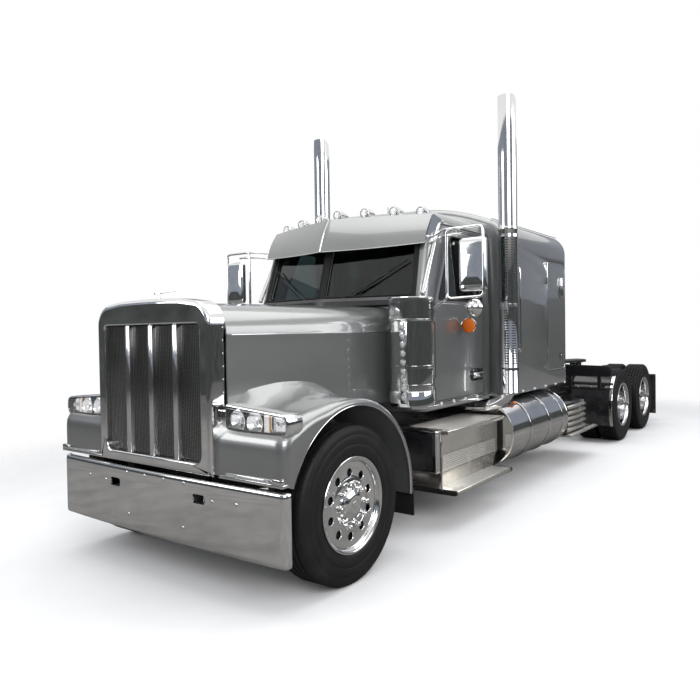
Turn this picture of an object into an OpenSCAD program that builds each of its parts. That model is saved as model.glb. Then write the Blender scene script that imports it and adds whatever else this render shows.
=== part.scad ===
// Long-nose sleeper tractor unit, three axles, standing on its wheels.
// X runs forward, Y to the left and Z up. Stations along X are measured from the front axle
// and the whole vehicle is then moved so that the origin is under the middle of its length.

/* [Overall] */
// Front axle to the grille face
front_overhang = 735; // [725:5:780]
// Front axle to the middle of the drive bogie
wheelbase = 7305; // [6900:5:9000]
// Distance between the two drive axles
bogie_spacing = 1320; // [1250:5:1600]
// Rear drive axle to the end of the vehicle
rear_overhang = 900; // [750:5:1100]
// Height of the top of the frame rails
frame_top = 1000; // [980:5:1020]

/* [Frame] */
// Outer face of each frame rail from the centre line
rail_half = 430; // [425:1:440]
// Depth of a frame rail
rail_depth = 270; // [240:5:280]
// Width of a rail flange
rail_flange = 90; // [80:1:95]
// Thickness of the rail web and flanges
rail_wall = 9; // [8:0.5:12]

/* [Wheels] */
// Outer radius of every tyre
tyre_r = 535; // [510:5:545]
// Width of one tyre
tyre_w = 280; // [230:5:300]
// Radius of the rim flange that shows against the tyre
rim_flange_r = 324; // [300:2:330]
// Outer face of a front tyre from the centre line
front_tyre_out = 1180; // [1160:5:1200]
// Outer face of a rear outer tyre from the centre line
rear_tyre_out = 1215; // [1190:5:1230]
// Gap between the two tyres of a pair
dual_gap = 45; // [30:5:60]
// Radius of the circle of hand holes in a wheel disc
hand_hole_pcr = 215; // [205:1:225]
// Number of hand holes in a wheel disc
hand_holes = 10; // [8:1:10]
// Radius of a front spindle
front_spindle_r = 40; // [30:1:50]
// Radius of a rear spindle
rear_spindle_r = 50; // [40:1:60]
// Kingpin distance from the centre line
kingpin_y = 860; // [850:1:862]
// Kingpin radius
kingpin_r = 22; // [18:0.5:26]
// Length of a steering arm behind its kingpin
steer_arm = 200; // [160:5:230]

/* [Hood] */
// Half width of the hood at the front
hood_front_half = 630; // [600:5:650]
// Half width of the hood at the rear
hood_rear_half = 750; // [720:5:760]
// Height of the top of the hood
hood_top = 1915; // [1850:5:1925]
// Sheet thickness of the hood
hood_wall = 10; // [8:1:16]
// Half width of the grille surround
surround_half = 610; // [580:5:620]
// Depth of the grille surround
surround_depth = 135; // [120:5:150]
// Radius of the wheel arch in a front fender
arch_r = 662; // [655:1:670]
// Thickness of a front fender above the arch
fender_t = 48; // [40:1:60]
// Outer face of a front fender from the centre line
fender_half = 1190; // [1180:5:1200]

/* [Cab] */
// Half width of the cab below the windows
cab_half = 960; // [930:5:970]
// Length of the cab from the middle of the windshield to its rear wall
cab_len = 1525; // [1500:5:1620]
// How far the windshield corners lie behind its middle
cab_sweep = 200; // [150:5:220]
// Height of the window sill line
belt_z = 1940; // [1930:5:1960]
// Height of the roof edge
roof_edge_z = 2690; // [2650:5:2750]
// Height of the middle of the roof
roof_z = 2770; // [2740:5:2830]
// Thickness of a cab wall or door
cab_wall_t = 50; // [40:1:60]
// Gap round a door
door_gap = 6; // [5:0.5:10]

/* [Sleeper] */
// Length of the sleeper box
sleeper_len = 1926; // [1500:2:2320]
// Half width of the sleeper box
sleeper_half = 1070; // [1030:5:1075]
// Height of the middle of the sleeper roof
sleeper_roof_z = 3000; // [2950:5:3100]
// Thickness of a sleeper wall
sleeper_wall = 40; // [30:1:50]

/* [Side equipment] */
// Radius of a fuel tank
tank_r = 325; // [280:5:330]
// Length of a fuel tank
tank_len = 1600; // [1300:10:1950]
// Radius of an exhaust stack guard
stack_r = 94; // [60:1:100]
// Height of the top of the exhaust stacks
stack_top = 3955; // [3500:5:4100]
// Radius of an air cleaner
cleaner_r = 185; // [150:1:190]
// Length of a tool box
toolbox_len = 700; // [500:10:850]

/* [Fifth wheel] */
// Radius of the lock bore round the trailer king pin
kingpin_lock_r = 25.9; // [25.6:0.1:26.5]
// Height of the top of the fifth wheel plate
fifth_top = 1170; // [1160:5:1200]
// How far the fifth wheel pivot lies ahead of the bogie centre
fifth_lead = 155; // [0:5:300]

/* [Hidden] */

$fn = 48;
seat_gap = 0.3;
slice_t = 0.01;
run_fit = 0.05;
half_len = (front_overhang + wheelbase + bogie_spacing / 2 + rear_overhang) / 2;
axle_x = half_len - front_overhang;
bogie_x = -wheelbase;
drive_x = [bogie_x + bogie_spacing / 2, bogie_x - bogie_spacing / 2];
rear_end_x = -wheelbase - bogie_spacing / 2 - rear_overhang;
axle_z = tyre_r;
frame_bottom = frame_top - rail_depth;
rail_front_x = 500;

// Hood, bumper and hinge stations
surround_back_x = front_overhang - surround_depth;
bumper_x = front_overhang - 20;
bumper_t = 10;
bumper_half = 1190;
bumper_z = [300, 755];
bumper_bend = 45;
bumper_rear_x = 630;
cross_front_x = [300, 400];
pivot_x = 630;
pivot_z = 600;
arm_y = 300;
arm_t = 12;
pivot_pin_r = 12;
arch_x = -20;
tow_pin_r = 16;

// Drive axles and shafts
axle_ball_r = 185;
pinion_x = 230;
pinion_z = axle_z + 40;
shaft_r = 50;

// Door hinges: pin, the knuckle round it and the clear space left round the knuckle
hinge_pin_r = 4.5;
hinge_r = 9;
hinge_clear_r = 15;
hinge_len = 40;
door_hinge_z = [1240, 1800];
bag_hinge_z = [1420, 2240];

// Cab and sleeper stations
cab_nose_x = -1075;
cab_rear_x = cab_nose_x - cab_len;
hood_rear_x = cab_nose_x + 15;
cab_floor_z = frame_top;
rake = 0.29;
roof_half = cab_half - 40;
door_front_x = cab_nose_x - 385;
door_rear_x = cab_rear_x + 170;
door_z = [cab_floor_z + cab_wall_t + 10, roof_edge_z - 80];
sleeper_front_x = cab_rear_x - 20;
sleeper_rear_x = sleeper_front_x - sleeper_len;
bag_x = [sleeper_rear_x + 666, sleeper_rear_x + 76];
bag_z = [1195, 2470];
walk_half = 420;
walk_z = [1060, 2450];
bunk_x = [sleeper_rear_x + sleeper_wall, sleeper_rear_x + 1050];
bunk_z = 1700;
bunk_h = 220;

// Side equipment stations
tank_y = 890;
tank_z = 635;
tank_front_x = cab_rear_x + 45;
tank_rear_x = tank_front_x - tank_len;
step_x = [-1300, tank_front_x + 55];
step_low_x = step_x[0] - 40;
toolbox_x = tank_rear_x - 120;
deck_low_z = frame_top - 120;
stack_x = door_rear_x - 115;
elbow_x = tank_front_x + 76;
elbow_y = cab_half;
elbow_z = frame_top - 80;
elbow_r = 60;
stack_bracket_z = [1900, 2600];
guard_top_z = 2700;
mitre_angle = 40;
deck_x = [sleeper_rear_x - 950, sleeper_rear_x - 60];
wing_x = [sleeper_rear_x - 700, sleeper_rear_x - 120];
wing_half = 700;
deck_t = 22;
flap_y = [640, 1200];
flap_z = [150, 820];
flap_t = 12;
cleaner_bracket_z = [1180, 1700];
led_z = [1110, 1765];
stack_y = sleeper_half + stack_r + 11;
cleaner_x = cab_nose_x + 15;
cleaner_y = 975;
cleaner_z = [1060, 1970];

// Fifth wheel
fifth_x = bogie_x + fifth_lead;
fifth_pivot_z = fifth_top - 100;
fifth_pin_r = 24;
fifth_plate_r = 480;

// Points along an arc in the plane, from angle a0 to a1
function arc(cx, cy, r, a0, a1, n) =
  [for (i = [0:n]) [cx + r * cos(a0 + (a1 - a0) * i / n), cy + r * sin(a0 + (a1 - a0) * i / n)]];

// Moves a piece from front-axle stations to the vehicle's origin
module placed() { translate([axle_x, 0, 0]) children(); }

// The piece on the left and its mirror image on the right
module both() {
  children();
  mirror([0, 1, 0]) children();
}

// An outline drawn in X and Z, extruded from y0 to y1
module slab_y(y0, y1) { translate([0, y1, 0]) rotate([90, 0, 0]) linear_extrude(y1 - y0) children(); }

// An outline drawn in Y and Z, extruded from x0 to x1
module slab_x(x0, x1) {
  translate([x0, 0, 0]) rotate([90, 0, 90]) linear_extrude(x1 - x0) children();
}

// A box between two corners
module block(a, b) { translate(a) cube(b - a); }

// A round bar between two points
module rod(p, q, r) {
  d = q - p;
  len = norm(d);
  turn = atan2(d[1], d[0]);
  tilt = acos(d[2] / len);
  translate(p) rotate([0, tilt, turn]) cylinder(r = r, h = len);
}

// A cylinder along Y from y0 to y1 at a station
module drum_y(x, z, y0, y1, r) { translate([x, y0, z]) rotate([-90, 0, 0]) cylinder(r = r, h = y1 - y0); }

// ---------------------------------------------------------------- frame

module rail_section() {
  difference() {
    translate([rail_half - rail_flange, frame_bottom]) square([rail_flange, rail_depth]);
    translate([rail_half - rail_flange - 1, frame_bottom + rail_wall])
      square([rail_flange + 1 - rail_wall, rail_depth - 2 * rail_wall]);
  }
}

module frame_rails() {
  color("dimgray") both() slab_x(rear_end_x + 60, rail_front_x) rail_section();
}

module hinge_ear(y) {
  difference() {
    union() {
      block([cross_front_x[1], y, pivot_z - 35], [pivot_x, y + 14, pivot_z + 22]);
      drum_y(pivot_x, pivot_z, y, y + 14, 30);
    }
    drum_y(pivot_x, pivot_z, y - 1, y + 15, pivot_pin_r - 1);
  }
}

module crossmembers() {
  web = rail_half - rail_wall;
  stations = [-2250, -2900, -4350, drive_x[0] + 700, bogie_x, rear_end_x + 130];
  color("dimgray") {
    block([cross_front_x[0], -rail_half, frame_bottom - 180], [cross_front_x[1], rail_half, frame_bottom]);
    both() {
      hinge_ear(arm_y - arm_t / 2 - 19);
      hinge_ear(arm_y + arm_t / 2 + 5);
      drum_y(pivot_x, pivot_z, arm_y - arm_t / 2 - 19, arm_y + arm_t / 2 + 19, pivot_pin_r);
    }
    for (x = stations)
      difference() {
        block([x, -web, frame_bottom + 30], [x + 110, web, frame_top - 30]);
        block([x + 12, -web - 1, frame_bottom + 42], [x + 111, web + 1, frame_top - 42]);
      }
  }
}

module bumper_outline(inset) {
  half = bumper_half - inset;
  front = bumper_x - inset;
  bend = bumper_bend - inset;
  sag = 30;
  r = (half * half + sag * sag) / (2 * sag);
  side = asin((half - bend) / r);
  face = arc(front - r, 0, r, -side, side, 16);
  corner_x = face[16][0] - bend;
  polygon(concat(
    face,
    arc(corner_x, half - bend, bend, 80, 90, 1),
    [[bumper_rear_x, half], [bumper_rear_x, -half]],
    arc(corner_x, -half + bend, bend, -90, -80, 1)
  ));
}

module front_bumper() {
  color("silver") {
    difference() {
      translate([0, 0, bumper_z[0]]) linear_extrude(bumper_z[1] - bumper_z[0]) bumper_outline(0);
      translate([0, 0, bumper_z[0] - 1]) linear_extrude(bumper_z[1] - bumper_z[0] + 2)
        intersection() {
          bumper_outline(bumper_t);
          translate([500, -2000]) square([400, 4000]);
        }
      block(
        [bumper_rear_x - 1, -bumper_half + bumper_t, bumper_z[0] - 1],
        [bumper_rear_x + 20, bumper_half - bumper_t, bumper_z[1] + 1]
      );
      both() block([600, 400, 600], [800, 520, 660]);
    }
    both() {
      block(
        [cross_front_x[1], rail_half - 60, frame_bottom - 160],
        [bumper_x - bumper_t - 2, rail_half, frame_bottom]
      );
      difference() {
        block([600, rail_half, frame_bottom - 160], [700, rail_half + 60, frame_bottom - 40]);
        translate([655, rail_half + 30, frame_bottom - 170]) cylinder(r = tow_pin_r, h = 150);
      }
    }
  }
}

// ---------------------------------------------------------------- axles and drive

module leaf_spring() {
  y0 = rail_half + 5;
  y1 = rail_half + 85;
  slab_y(y0, y1) difference() {
    translate([-20, axle_z + 1390]) circle(r = 1340, $fn = 360);
    translate([-20, axle_z + 1390]) circle(r = 1295, $fn = 360);
    translate([-2000, axle_z + 190]) square([4000, 3000]);
    translate([-2620, -500]) square([2000, 4000]);
    translate([560, -500]) square([2000, 4000]);
  }
  for (x = [480, -650])
    block([x, rail_half, axle_z + 100], [x + 90, y1, frame_bottom + 90]);
}

module front_axle() {
  boss_z = [axle_z - 60, axle_z + 70];
  color("dimgray") {
    difference() {
      union() {
        slab_x(-45, 45) polygon([
          [-kingpin_y, axle_z + 50], [-700, axle_z + 50], [-560, axle_z - 20], [560, axle_z - 20],
          [700, axle_z + 50], [kingpin_y, axle_z + 50], [kingpin_y, axle_z - 40], [720, axle_z - 40],
          [580, axle_z - 130], [-580, axle_z - 130], [-720, axle_z - 40], [-kingpin_y, axle_z - 40]
        ]);
        for (s = [-1, 1]) translate([0, s * kingpin_y, boss_z[0]]) cylinder(r = 48, h = boss_z[1] - boss_z[0]);
        both() block([-60, rail_half + 5, axle_z - 80], [60, rail_half + 85, axle_z + 55]);
      }
      for (s = [-1, 1])
        translate([0, s * kingpin_y, boss_z[0] - 1])
          cylinder(r = kingpin_r + run_fit, h = boss_z[1] - boss_z[0] + 2);
    }
    both() leaf_spring();
  }
}

module drive_axle(x) {
  hub_in = rear_tyre_out - 2 * tyre_w - dual_gap;
  drum_y(x, axle_z, -hub_in - 60, hub_in + 60, 66);
  drum_y(x, axle_z, -rear_tyre_out + 130, rear_tyre_out - 130, rear_spindle_r);
  translate([x, 0, axle_z]) sphere(r = axle_ball_r);
  drum_y(x, axle_z, -150, 150, 165);
  translate([x + 100, 0, pinion_z]) rotate([0, 90, 0]) cylinder(r = 75, h = pinion_x - 100);
  both() drum_y(x, axle_z, hub_in - 30, hub_in - 5, 170);
}

module rear_axles() {
  color("dimgray") for (x = drive_x) drive_axle(x);
}

module rear_suspension() {
  y0 = rail_half;
  y1 = rail_half + 80;
  beam_z = axle_z + 66;
  color("dimgray") both() {
    slab_y(y0, y1) polygon([
      [drive_x[0] + 110, beam_z], [drive_x[0] + 110, beam_z + 60], [bogie_x + 200, beam_z + 130],
      [bogie_x - 200, beam_z + 130], [drive_x[1] - 110, beam_z + 60], [drive_x[1] - 110, beam_z],
      [drive_x[1] + 110, beam_z], [bogie_x, beam_z + 60], [drive_x[0] - 110, beam_z]
    ]);
    block([bogie_x - 160, y0, beam_z + 129], [bogie_x + 160, y0 + 40, frame_top - 30]);
    for (x = drive_x)
      translate([x - 10, y0 - 50, beam_z]) cylinder(r = 40, h = frame_bottom - beam_z);
  }
}

module engine_block() {
  half = rail_half - rail_flange;
  color("slategray") union() {
    block([cab_nose_x + 45, -half, frame_bottom - 60], [120, half, 1480]);
    block([cab_nose_x + 95, -half + 90, 1480], [60, half - 90, 1640]);
    translate([120, 0, 1080]) rotate([0, 90, 0]) cylinder(r = 320, h = 60);
  }
}

module driveline() {
  gear_x = [-2050, cab_nose_x - 5];
  color("slategray") {
    union() {
      block([gear_x[0] + 300, -230, frame_bottom - 130], [gear_x[1], 230, frame_top - 60]);
      block([gear_x[0], -160, frame_bottom - 90], [gear_x[0] + 300, 160, frame_top - 120]);
      difference() {
        rod([gear_x[0] + 20, 0, frame_bottom - 30], [drive_x[0] + 200, 0, pinion_z], shaft_r);
        block(
          [drive_x[0], -2 * shaft_r, frame_bottom - 300],
          [drive_x[0] + pinion_x, 2 * shaft_r, frame_bottom]
        );
      }
    }
    rod([drive_x[0] - axle_ball_r - seat_gap, 0, pinion_z], [drive_x[1] + pinion_x, 0, pinion_z], 45);
  }
}

module radiator() {
  color("black") union() {
    block([cross_front_x[0], -500, frame_top], [cross_front_x[1], 500, 1740]);
    block([cross_front_x[0], -rail_half + rail_flange, frame_bottom],
          [cross_front_x[1], rail_half - rail_flange, frame_top + 1]);
  }
}

// ---------------------------------------------------------------- cab

// One slice of the cab's plan, whose nose stands at x and whose half width is w
module cab_slice(x, w, z, h, inset) {
  r = 70 - inset;
  stations = [[x - 70, 0], [x - cab_sweep - 70, w - 70], [x - cab_sweep - 70, 70 - w],
              [cab_rear_x + 70, w - 70], [cab_rear_x + 70, 70 - w]];
  for (at = stations) translate([at[0], at[1], z]) cylinder(r = r, h = h, $fn = 24);
}

// The cab's outer shape, drawn in from every side by inset
module cab_solid(inset) {
  edge_x = cab_nose_x - rake * (roof_edge_z - belt_z);
  slice_h = 2;
  hull() {
    cab_slice(cab_nose_x, cab_half, cab_floor_z + inset, belt_z - cab_floor_z - inset, inset);
    cab_slice(edge_x, roof_half, roof_edge_z - inset - slice_h, slice_h, inset);
    cab_slice(edge_x - 120, roof_half - 160, roof_z - inset - slice_h, slice_h, inset);
  }
}

module door_outline() {
  polygon([
    [door_front_x, door_z[0]], [door_front_x, belt_z], [door_front_x - 330, door_z[1]],
    [door_rear_x, door_z[1]], [door_rear_x, door_z[0]]
  ]);
}

module door_window_outline() {
  polygon([
    [door_front_x - 85, belt_z + 20], [door_front_x - 370, door_z[1] - 70],
    [door_rear_x + 45, door_z[1] - 70], [door_rear_x + 45, belt_z + 20]
  ]);
}

module windshield_outline() {
  polygon([
    [40, belt_z + 60], [40, roof_edge_z - 110], [roof_half - 110, roof_edge_z - 110],
    [cab_half - 110, belt_z + 60]
  ]);
}

// Clear space round a hinge knuckle, for the panel on either side
module hinge_space(x, y, z) {
  translate([x, y, z - 1.5 * hinge_len]) cylinder(r = hinge_clear_r, h = 3 * hinge_len);
}

// The fixed half of a hinge: a pin between two ears that reach forward to the wall
module hinge_fixed(x, y, z) {
  translate([x, y, z - hinge_len]) cylinder(r = hinge_pin_r, h = 2 * hinge_len);
  for (at = [z - hinge_len, z + hinge_len / 2 + 1]) {
    translate([x, y, at]) cylinder(r = hinge_r, h = hinge_len / 2 - 1);
    block([x, y - hinge_r, at], [x + 2 * hinge_clear_r, y, at + hinge_len / 2 - 1]);
  }
}

// The swinging half: a knuckle with a leaf that reaches back into the door
module hinge_moving(x, y, z) {
  difference() {
    union() {
      translate([x, y, z - hinge_len / 2]) cylinder(r = hinge_r, h = hinge_len);
      block([x - 2 * hinge_clear_r, y - hinge_r, z - hinge_len / 2], [x, y, z + hinge_len / 2]);
    }
    translate([x, y, z - hinge_len]) cylinder(r = hinge_pin_r + run_fit, h = 2 * hinge_len);
  }
}

module cab_shell() {
  color("lightgray") union() {
    difference() {
      cab_solid(0);
      cab_solid(cab_wall_t);
      both() {
        slab_y(cab_half - 200, cab_half + 50) offset(delta = door_gap) door_outline();
        slab_x(cab_nose_x - 600, cab_nose_x + 200) windshield_outline();
        for (z = door_hinge_z) hinge_space(door_front_x, cab_half, z);
      }
      block([cab_rear_x - 1, -walk_half, walk_z[0]], [cab_rear_x + cab_wall_t + 50, walk_half, walk_z[1]]);
    }
    both() for (z = door_hinge_z) hinge_fixed(door_front_x, cab_half, z);
  }
}

module windshield() {
  color("lightblue") intersection() {
    difference() {
      cab_solid(18);
      cab_solid(26);
    }
    both() slab_x(cab_nose_x - 600, cab_nose_x + 200) offset(delta = -seat_gap) windshield_outline();
  }
}

module sun_visor() {
  top_z = roof_edge_z + 30;
  low_z = roof_edge_z - 280;
  nose = cab_nose_x - rake * (roof_edge_z - belt_z);
  t = 14;
  color("lightgray") difference() {
    for (s = [-1, 1]) {
      hull() {
        translate([nose + 70, 0, top_z]) sphere(r = t / 2, $fn = 16);
        translate([nose + 215, 0, low_z]) sphere(r = t / 2, $fn = 16);
        translate([nose - 210, s * 930, top_z]) sphere(r = t / 2, $fn = 16);
        translate([nose - 65, s * 930, low_z + 30]) sphere(r = t / 2, $fn = 16);
      }
      hull() {
        translate([nose - 210, s * 930, top_z]) sphere(r = t / 2, $fn = 16);
        translate([nose - 65, s * 930, low_z + 30]) sphere(r = t / 2, $fn = 16);
        translate([nose - 380, s * 930, top_z - 40]) sphere(r = t / 2, $fn = 16);
      }
      rod([nose + 66, s * 300, top_z - 45], [nose - 145, s * 300, top_z - 45], 8);
      rod([nose - 60, s * 800, top_z - 40], [nose - 260, s * 800, top_z - 40], 8);
    }
    cab_solid(0);
  }
}

module dashboard() {
  back_x = cab_nose_x - 560;
  column = [back_x + 20, 450, 1640];
  wheel = [back_x - 130, 450, 1740];
  color("dimgray") union() {
    intersection() {
      cab_solid(cab_wall_t + seat_gap);
      block([back_x, -cab_half + 80, 1430], [cab_nose_x, cab_half - 80, belt_z - 20]);
    }
    rod(column, wheel, 30);
    translate(wheel) rotate([0, -58, 0]) {
      rotate_extrude() translate([215, 0]) circle(r = 15, $fn = 24);
      cylinder(r = 55, h = 24, center = true);
      for (a = [0, 120, 240]) rotate(a) translate([20, -14, -7]) cube([190, 28, 14]);
    }
  }
}

module seat(y) {
  x = cab_rear_x + 190;
  z = cab_floor_z + cab_wall_t;
  translate([x, y, z]) {
    block([120, -170, seat_gap], [440, 170, 300]);
    block([60, -240, 300], [560, 240, 450]);
    slab_y(-230, 230) polygon([[60, 350], [190, 450], [90, 1050], [-30, 1050]]);
    slab_y(-130, 130) polygon([[80, 1049], [60, 1230], [-20, 1230], [-20, 1049]]);
  }
}

module seats() {
  color("gray") for (y = [-450, 450]) seat(y);
}

// ---------------------------------------------------------------- sleeper

module sleeper_section(inset) {
  shoulder_r = 240;
  shoulder_y = sleeper_half - shoulder_r;
  shoulder_z = sleeper_roof_z - 410;
  r = shoulder_r - inset;
  end_y = shoulder_y + shoulder_r * cos(64);
  rise = sleeper_roof_z - shoulder_z - shoulder_r * sin(64);
  crown_r = (end_y * end_y + rise * rise) / (2 * rise);
  half_angle = asin(end_y / crown_r);
  right = arc(shoulder_y, shoulder_z, r, 0, 64, 6);
  crown = arc(0, sleeper_roof_z - crown_r, crown_r - inset, 90 - half_angle, 90 + half_angle, 12);
  left = arc(-shoulder_y, shoulder_z, r, 116, 180, 6);
  polygon(concat(
    [[sleeper_half - inset, cab_floor_z + inset]], right, [for (i = [1:11]) crown[i]], left,
    [[-sleeper_half + inset, cab_floor_z + inset]]
  ));
}

module baggage_outline() {
  r = 60;
  x0 = bag_x[1];
  x1 = bag_x[0];
  polygon(concat(
    arc(x1 - r, bag_z[0] + r, r, -90, 0, 6), arc(x1 - r, bag_z[1] - r, r, 0, 90, 6),
    arc(x0 + r, bag_z[1] - r, r, 90, 180, 6), arc(x0 + r, bag_z[0] + r, r, 180, 270, 6)
  ));
}

module sleeper_shell() {
  color("lightgray") union() {
    difference() {
      slab_x(sleeper_rear_x, sleeper_front_x) sleeper_section(0);
      slab_x(sleeper_rear_x + sleeper_wall, sleeper_front_x - sleeper_wall) sleeper_section(sleeper_wall);
      both() {
        slab_y(sleeper_half - 60, sleeper_half + 30) offset(delta = door_gap) baggage_outline();
        for (z = bag_hinge_z) hinge_space(bag_x[0], sleeper_half, z);
      }
      block(
        [sleeper_front_x - sleeper_wall - 1, -walk_half, walk_z[0]],
        [sleeper_front_x + 1, walk_half, walk_z[1]]
      );
    }
    both() for (z = bag_hinge_z) hinge_fixed(bag_x[0], sleeper_half, z);
  }
}

module baggage_door() {
  difference() {
    slab_y(sleeper_half - sleeper_wall, sleeper_half) baggage_outline();
    for (z = bag_hinge_z) hinge_space(bag_x[0], sleeper_half, z);
  }
  for (z = bag_hinge_z) hinge_moving(bag_x[0], sleeper_half, z);
  block([bag_x[1] + 120, sleeper_half - 1, bag_z[1] - 400], [bag_x[1] + 160, sleeper_half + 30, bag_z[1] - 180]);
}

module left_baggage_door() { color("lightgray") baggage_door(); }

module right_baggage_door() { color("lightgray") mirror([0, 1, 0]) baggage_door(); }

module bunk() {
  half = sleeper_half - sleeper_wall;
  color("darkgray") union() {
    block([bunk_x[0], -half, bunk_z], [bunk_x[1], half, bunk_z + 60]);
    block([bunk_x[0] + 20, -half + 30, bunk_z + 59], [bunk_x[1] - 20, half - 30, bunk_z + bunk_h]);
  }
}

// ---------------------------------------------------------------- doors

module door_panel() {
  difference() {
    intersection() {
      cab_solid(0);
      slab_y(cab_half - 200, cab_half + 50) door_outline();
    }
    cab_solid(cab_wall_t);
    slab_y(cab_half - 201, cab_half + 51) door_window_outline();
    for (z = door_hinge_z) hinge_space(door_front_x, cab_half, z);
  }
  for (z = door_hinge_z) hinge_moving(door_front_x, cab_half, z);
  block([door_rear_x + 60, cab_half - 1, 1235], [door_rear_x + 190, cab_half + 35, 1275]);
}

module door_glass() {
  intersection() {
    difference() {
      cab_solid(18);
      cab_solid(25);
    }
    slab_y(cab_half - 200, cab_half + 50) offset(delta = -seat_gap) door_window_outline();
  }
}

module left_door() { color("lightgray") door_panel(); }

module left_door_glass() { color("lightblue") door_glass(); }

module right_door() { color("lightgray") mirror([0, 1, 0]) door_panel(); }

module right_door_glass() { color("lightblue") mirror([0, 1, 0]) door_glass(); }

// ---------------------------------------------------------------- hood

// The hood's cross-section at one end
module hood_slice(x, half, top, low, inset) {
  r = 190;
  crown = 28;
  w = half - inset;
  t = top - inset;
  slab_x(x - slice_t, x) polygon(concat(
    [[w, low], [w, t - crown - r + inset]],
    arc(w - r + inset, t - crown - r + inset, r - inset, 0, 78, 8),
    [[0, t]],
    arc(-w + r - inset, t - crown - r + inset, r - inset, 102, 180, 8),
    [[-w, low]]
  ));
}

module hood_solid(inset, low_extra) {
  rear_x = cab_nose_x - 110;
  hull() {
    hood_slice(surround_back_x, hood_front_half, hood_top - 10, 1130 - low_extra, inset);
    hood_slice(rear_x, hood_rear_half, hood_top + 10, 1130 - low_extra, inset);
  }
}

module hood_shell() {
  v = cab_sweep / cab_half;
  color("lightgray") difference() {
    hood_solid(0, 0);
    hood_solid(hood_wall, 10);
    block(
      [surround_back_x - 30, -hood_front_half + 120, frame_top],
      [surround_back_x + 10, hood_front_half - 120, hood_top - 120]
    );
    translate([0, 0, frame_top - 100]) linear_extrude(1300) polygon([
      [hood_rear_x, 0],
      [hood_rear_x - 1000 * v, 1000],
      [-3000, 1000],
      [-3000, -1000],
      [hood_rear_x - 1000 * v, -1000]
    ]);
  }
}

module fender_profile() {
  outer_r = arch_r + fender_t;
  tip = 186;
  difference() {
    polygon(concat(
      [[front_overhang - 45, 800], [front_overhang - 45, 960]],
      arc(front_overhang - 165, 1000, 120, -10, 50, 5),
      [[330, 1215], [160, 1240]],
      arc(arch_x, axle_z, outer_r, 88, tip, 24),
      [[arch_x, axle_z]]
    ));
    translate([arch_x, axle_z]) circle(r = arch_r, $fn = 180);
    translate([-1000, -1000]) square([2000 + arch_x, 1460]);
    translate([arch_x, -1000]) square([1000, 1800]);
  }
}

module fenders() {
  color("lightgray") both() difference() {
    slab_y(hood_front_half - 40, fender_half) fender_profile();
    hood_solid(0, 700);
    headlight_pod(1);
    block([surround_back_x, 0, 700], [front_overhang + 1, surround_half, hood_top]);
  }
}

module surround_outline(inset) {
  half = surround_half - inset;
  r = 150 - inset;
  low = 790 + inset;
  top = hood_top + 15 - inset;
  polygon(concat(
    [[half, low]], arc(half - r, top - 25 - r, r, 0, 80, 8), [[0, top]],
    arc(-half + r, top - 25 - r, r, 100, 180, 8), [[-half, low]]
  ));
}

module grille_opening() {
  half = surround_half - 90;
  r = 70;
  low = 865;
  top = hood_top - 158;
  polygon(concat(
    arc(half - r, low + r, r, -90, 0, 6),
    [[half, top], [-half, top]],
    arc(-half + r, low + r, r, 180, 270, 6)
  ));
}

module hinge_arm() {
  slab_y(arm_y - arm_t / 2, arm_y + arm_t / 2) difference() {
    union() {
      polygon([
        [pivot_x + 8, pivot_z - 18], [pivot_x - 195, pivot_z + 50], [pivot_x - 222, pivot_z + 70],
        [pivot_x - 222, pivot_z + 262], [surround_back_x, pivot_z + 262], [surround_back_x, pivot_z + 215],
        [pivot_x - 180, pivot_z + 215], [pivot_x - 180, pivot_z + 88], [pivot_x + 8, pivot_z + 22]
      ]);
      translate([pivot_x, pivot_z]) circle(r = 24);
    }
    translate([pivot_x, pivot_z]) circle(r = pivot_pin_r + run_fit);
  }
}

module grille_surround() {
  color("silver") union() {
    difference() {
      slab_x(surround_back_x, front_overhang) surround_outline(0);
      slab_x(surround_back_x - 1, front_overhang + 1) grille_opening();
    }
    both() hinge_arm();
  }
}

module grille_screen() {
  back = surround_back_x + 40;
  color("black") union() {
    slab_x(back, back + 8) offset(delta = -seat_gap) grille_opening();
    for (y = [-260, 0, 260])
      block([back + 7, y - 22, 867], [front_overhang - 5, y + 22, hood_top - 160]);
  }
}

module headlight_pod(extra) {
  r = 60;
  z0 = 1040 - extra;
  z1 = 1250 + extra;
  y0 = 650 - extra;
  y1 = 1195;
  slab_x(490 - extra, front_overhang - 85) polygon(concat(
    [[y0, z0], [y1 + extra - r, z0]], arc(y1 - r, z0 + r, r + extra, -80, 0, 6),
    arc(y1 - r, z1 - r, r + extra, 0, 80, 6), [[y1 + extra - r, z1], [y0, z1]]
  ));
}

module headlights() {
  color("silver") both() difference() {
    headlight_pod(0);
    hood_solid(0, 700);
  }
}

// ---------------------------------------------------------------- side equipment

module air_cleaners() {
  color("silver") both() difference() {
    union() {
      translate([cleaner_x, cleaner_y, cleaner_z[0]])
        cylinder(r = cleaner_r - 12, h = cleaner_z[1] - cleaner_z[0]);
      translate([cleaner_x, cleaner_y, cleaner_z[0] + 20])
        cylinder(r = cleaner_r, h = 130);
      translate([cleaner_x, cleaner_y, cleaner_z[1] - 200])
        cylinder(r = cleaner_r, h = 185);
      block(
        [cleaner_x + cleaner_r - 40, cleaner_y + 5, led_z[0]],
        [cleaner_x + cleaner_r + 22, cleaner_y + 65, led_z[1]]
      );
      for (z = cleaner_bracket_z)
        block([cleaner_x - cleaner_r - 45, cleaner_y - 90, z], [cleaner_x - 60, cleaner_y - 40, z + 50]);
    }
    cab_solid(0);
  }
}

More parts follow.
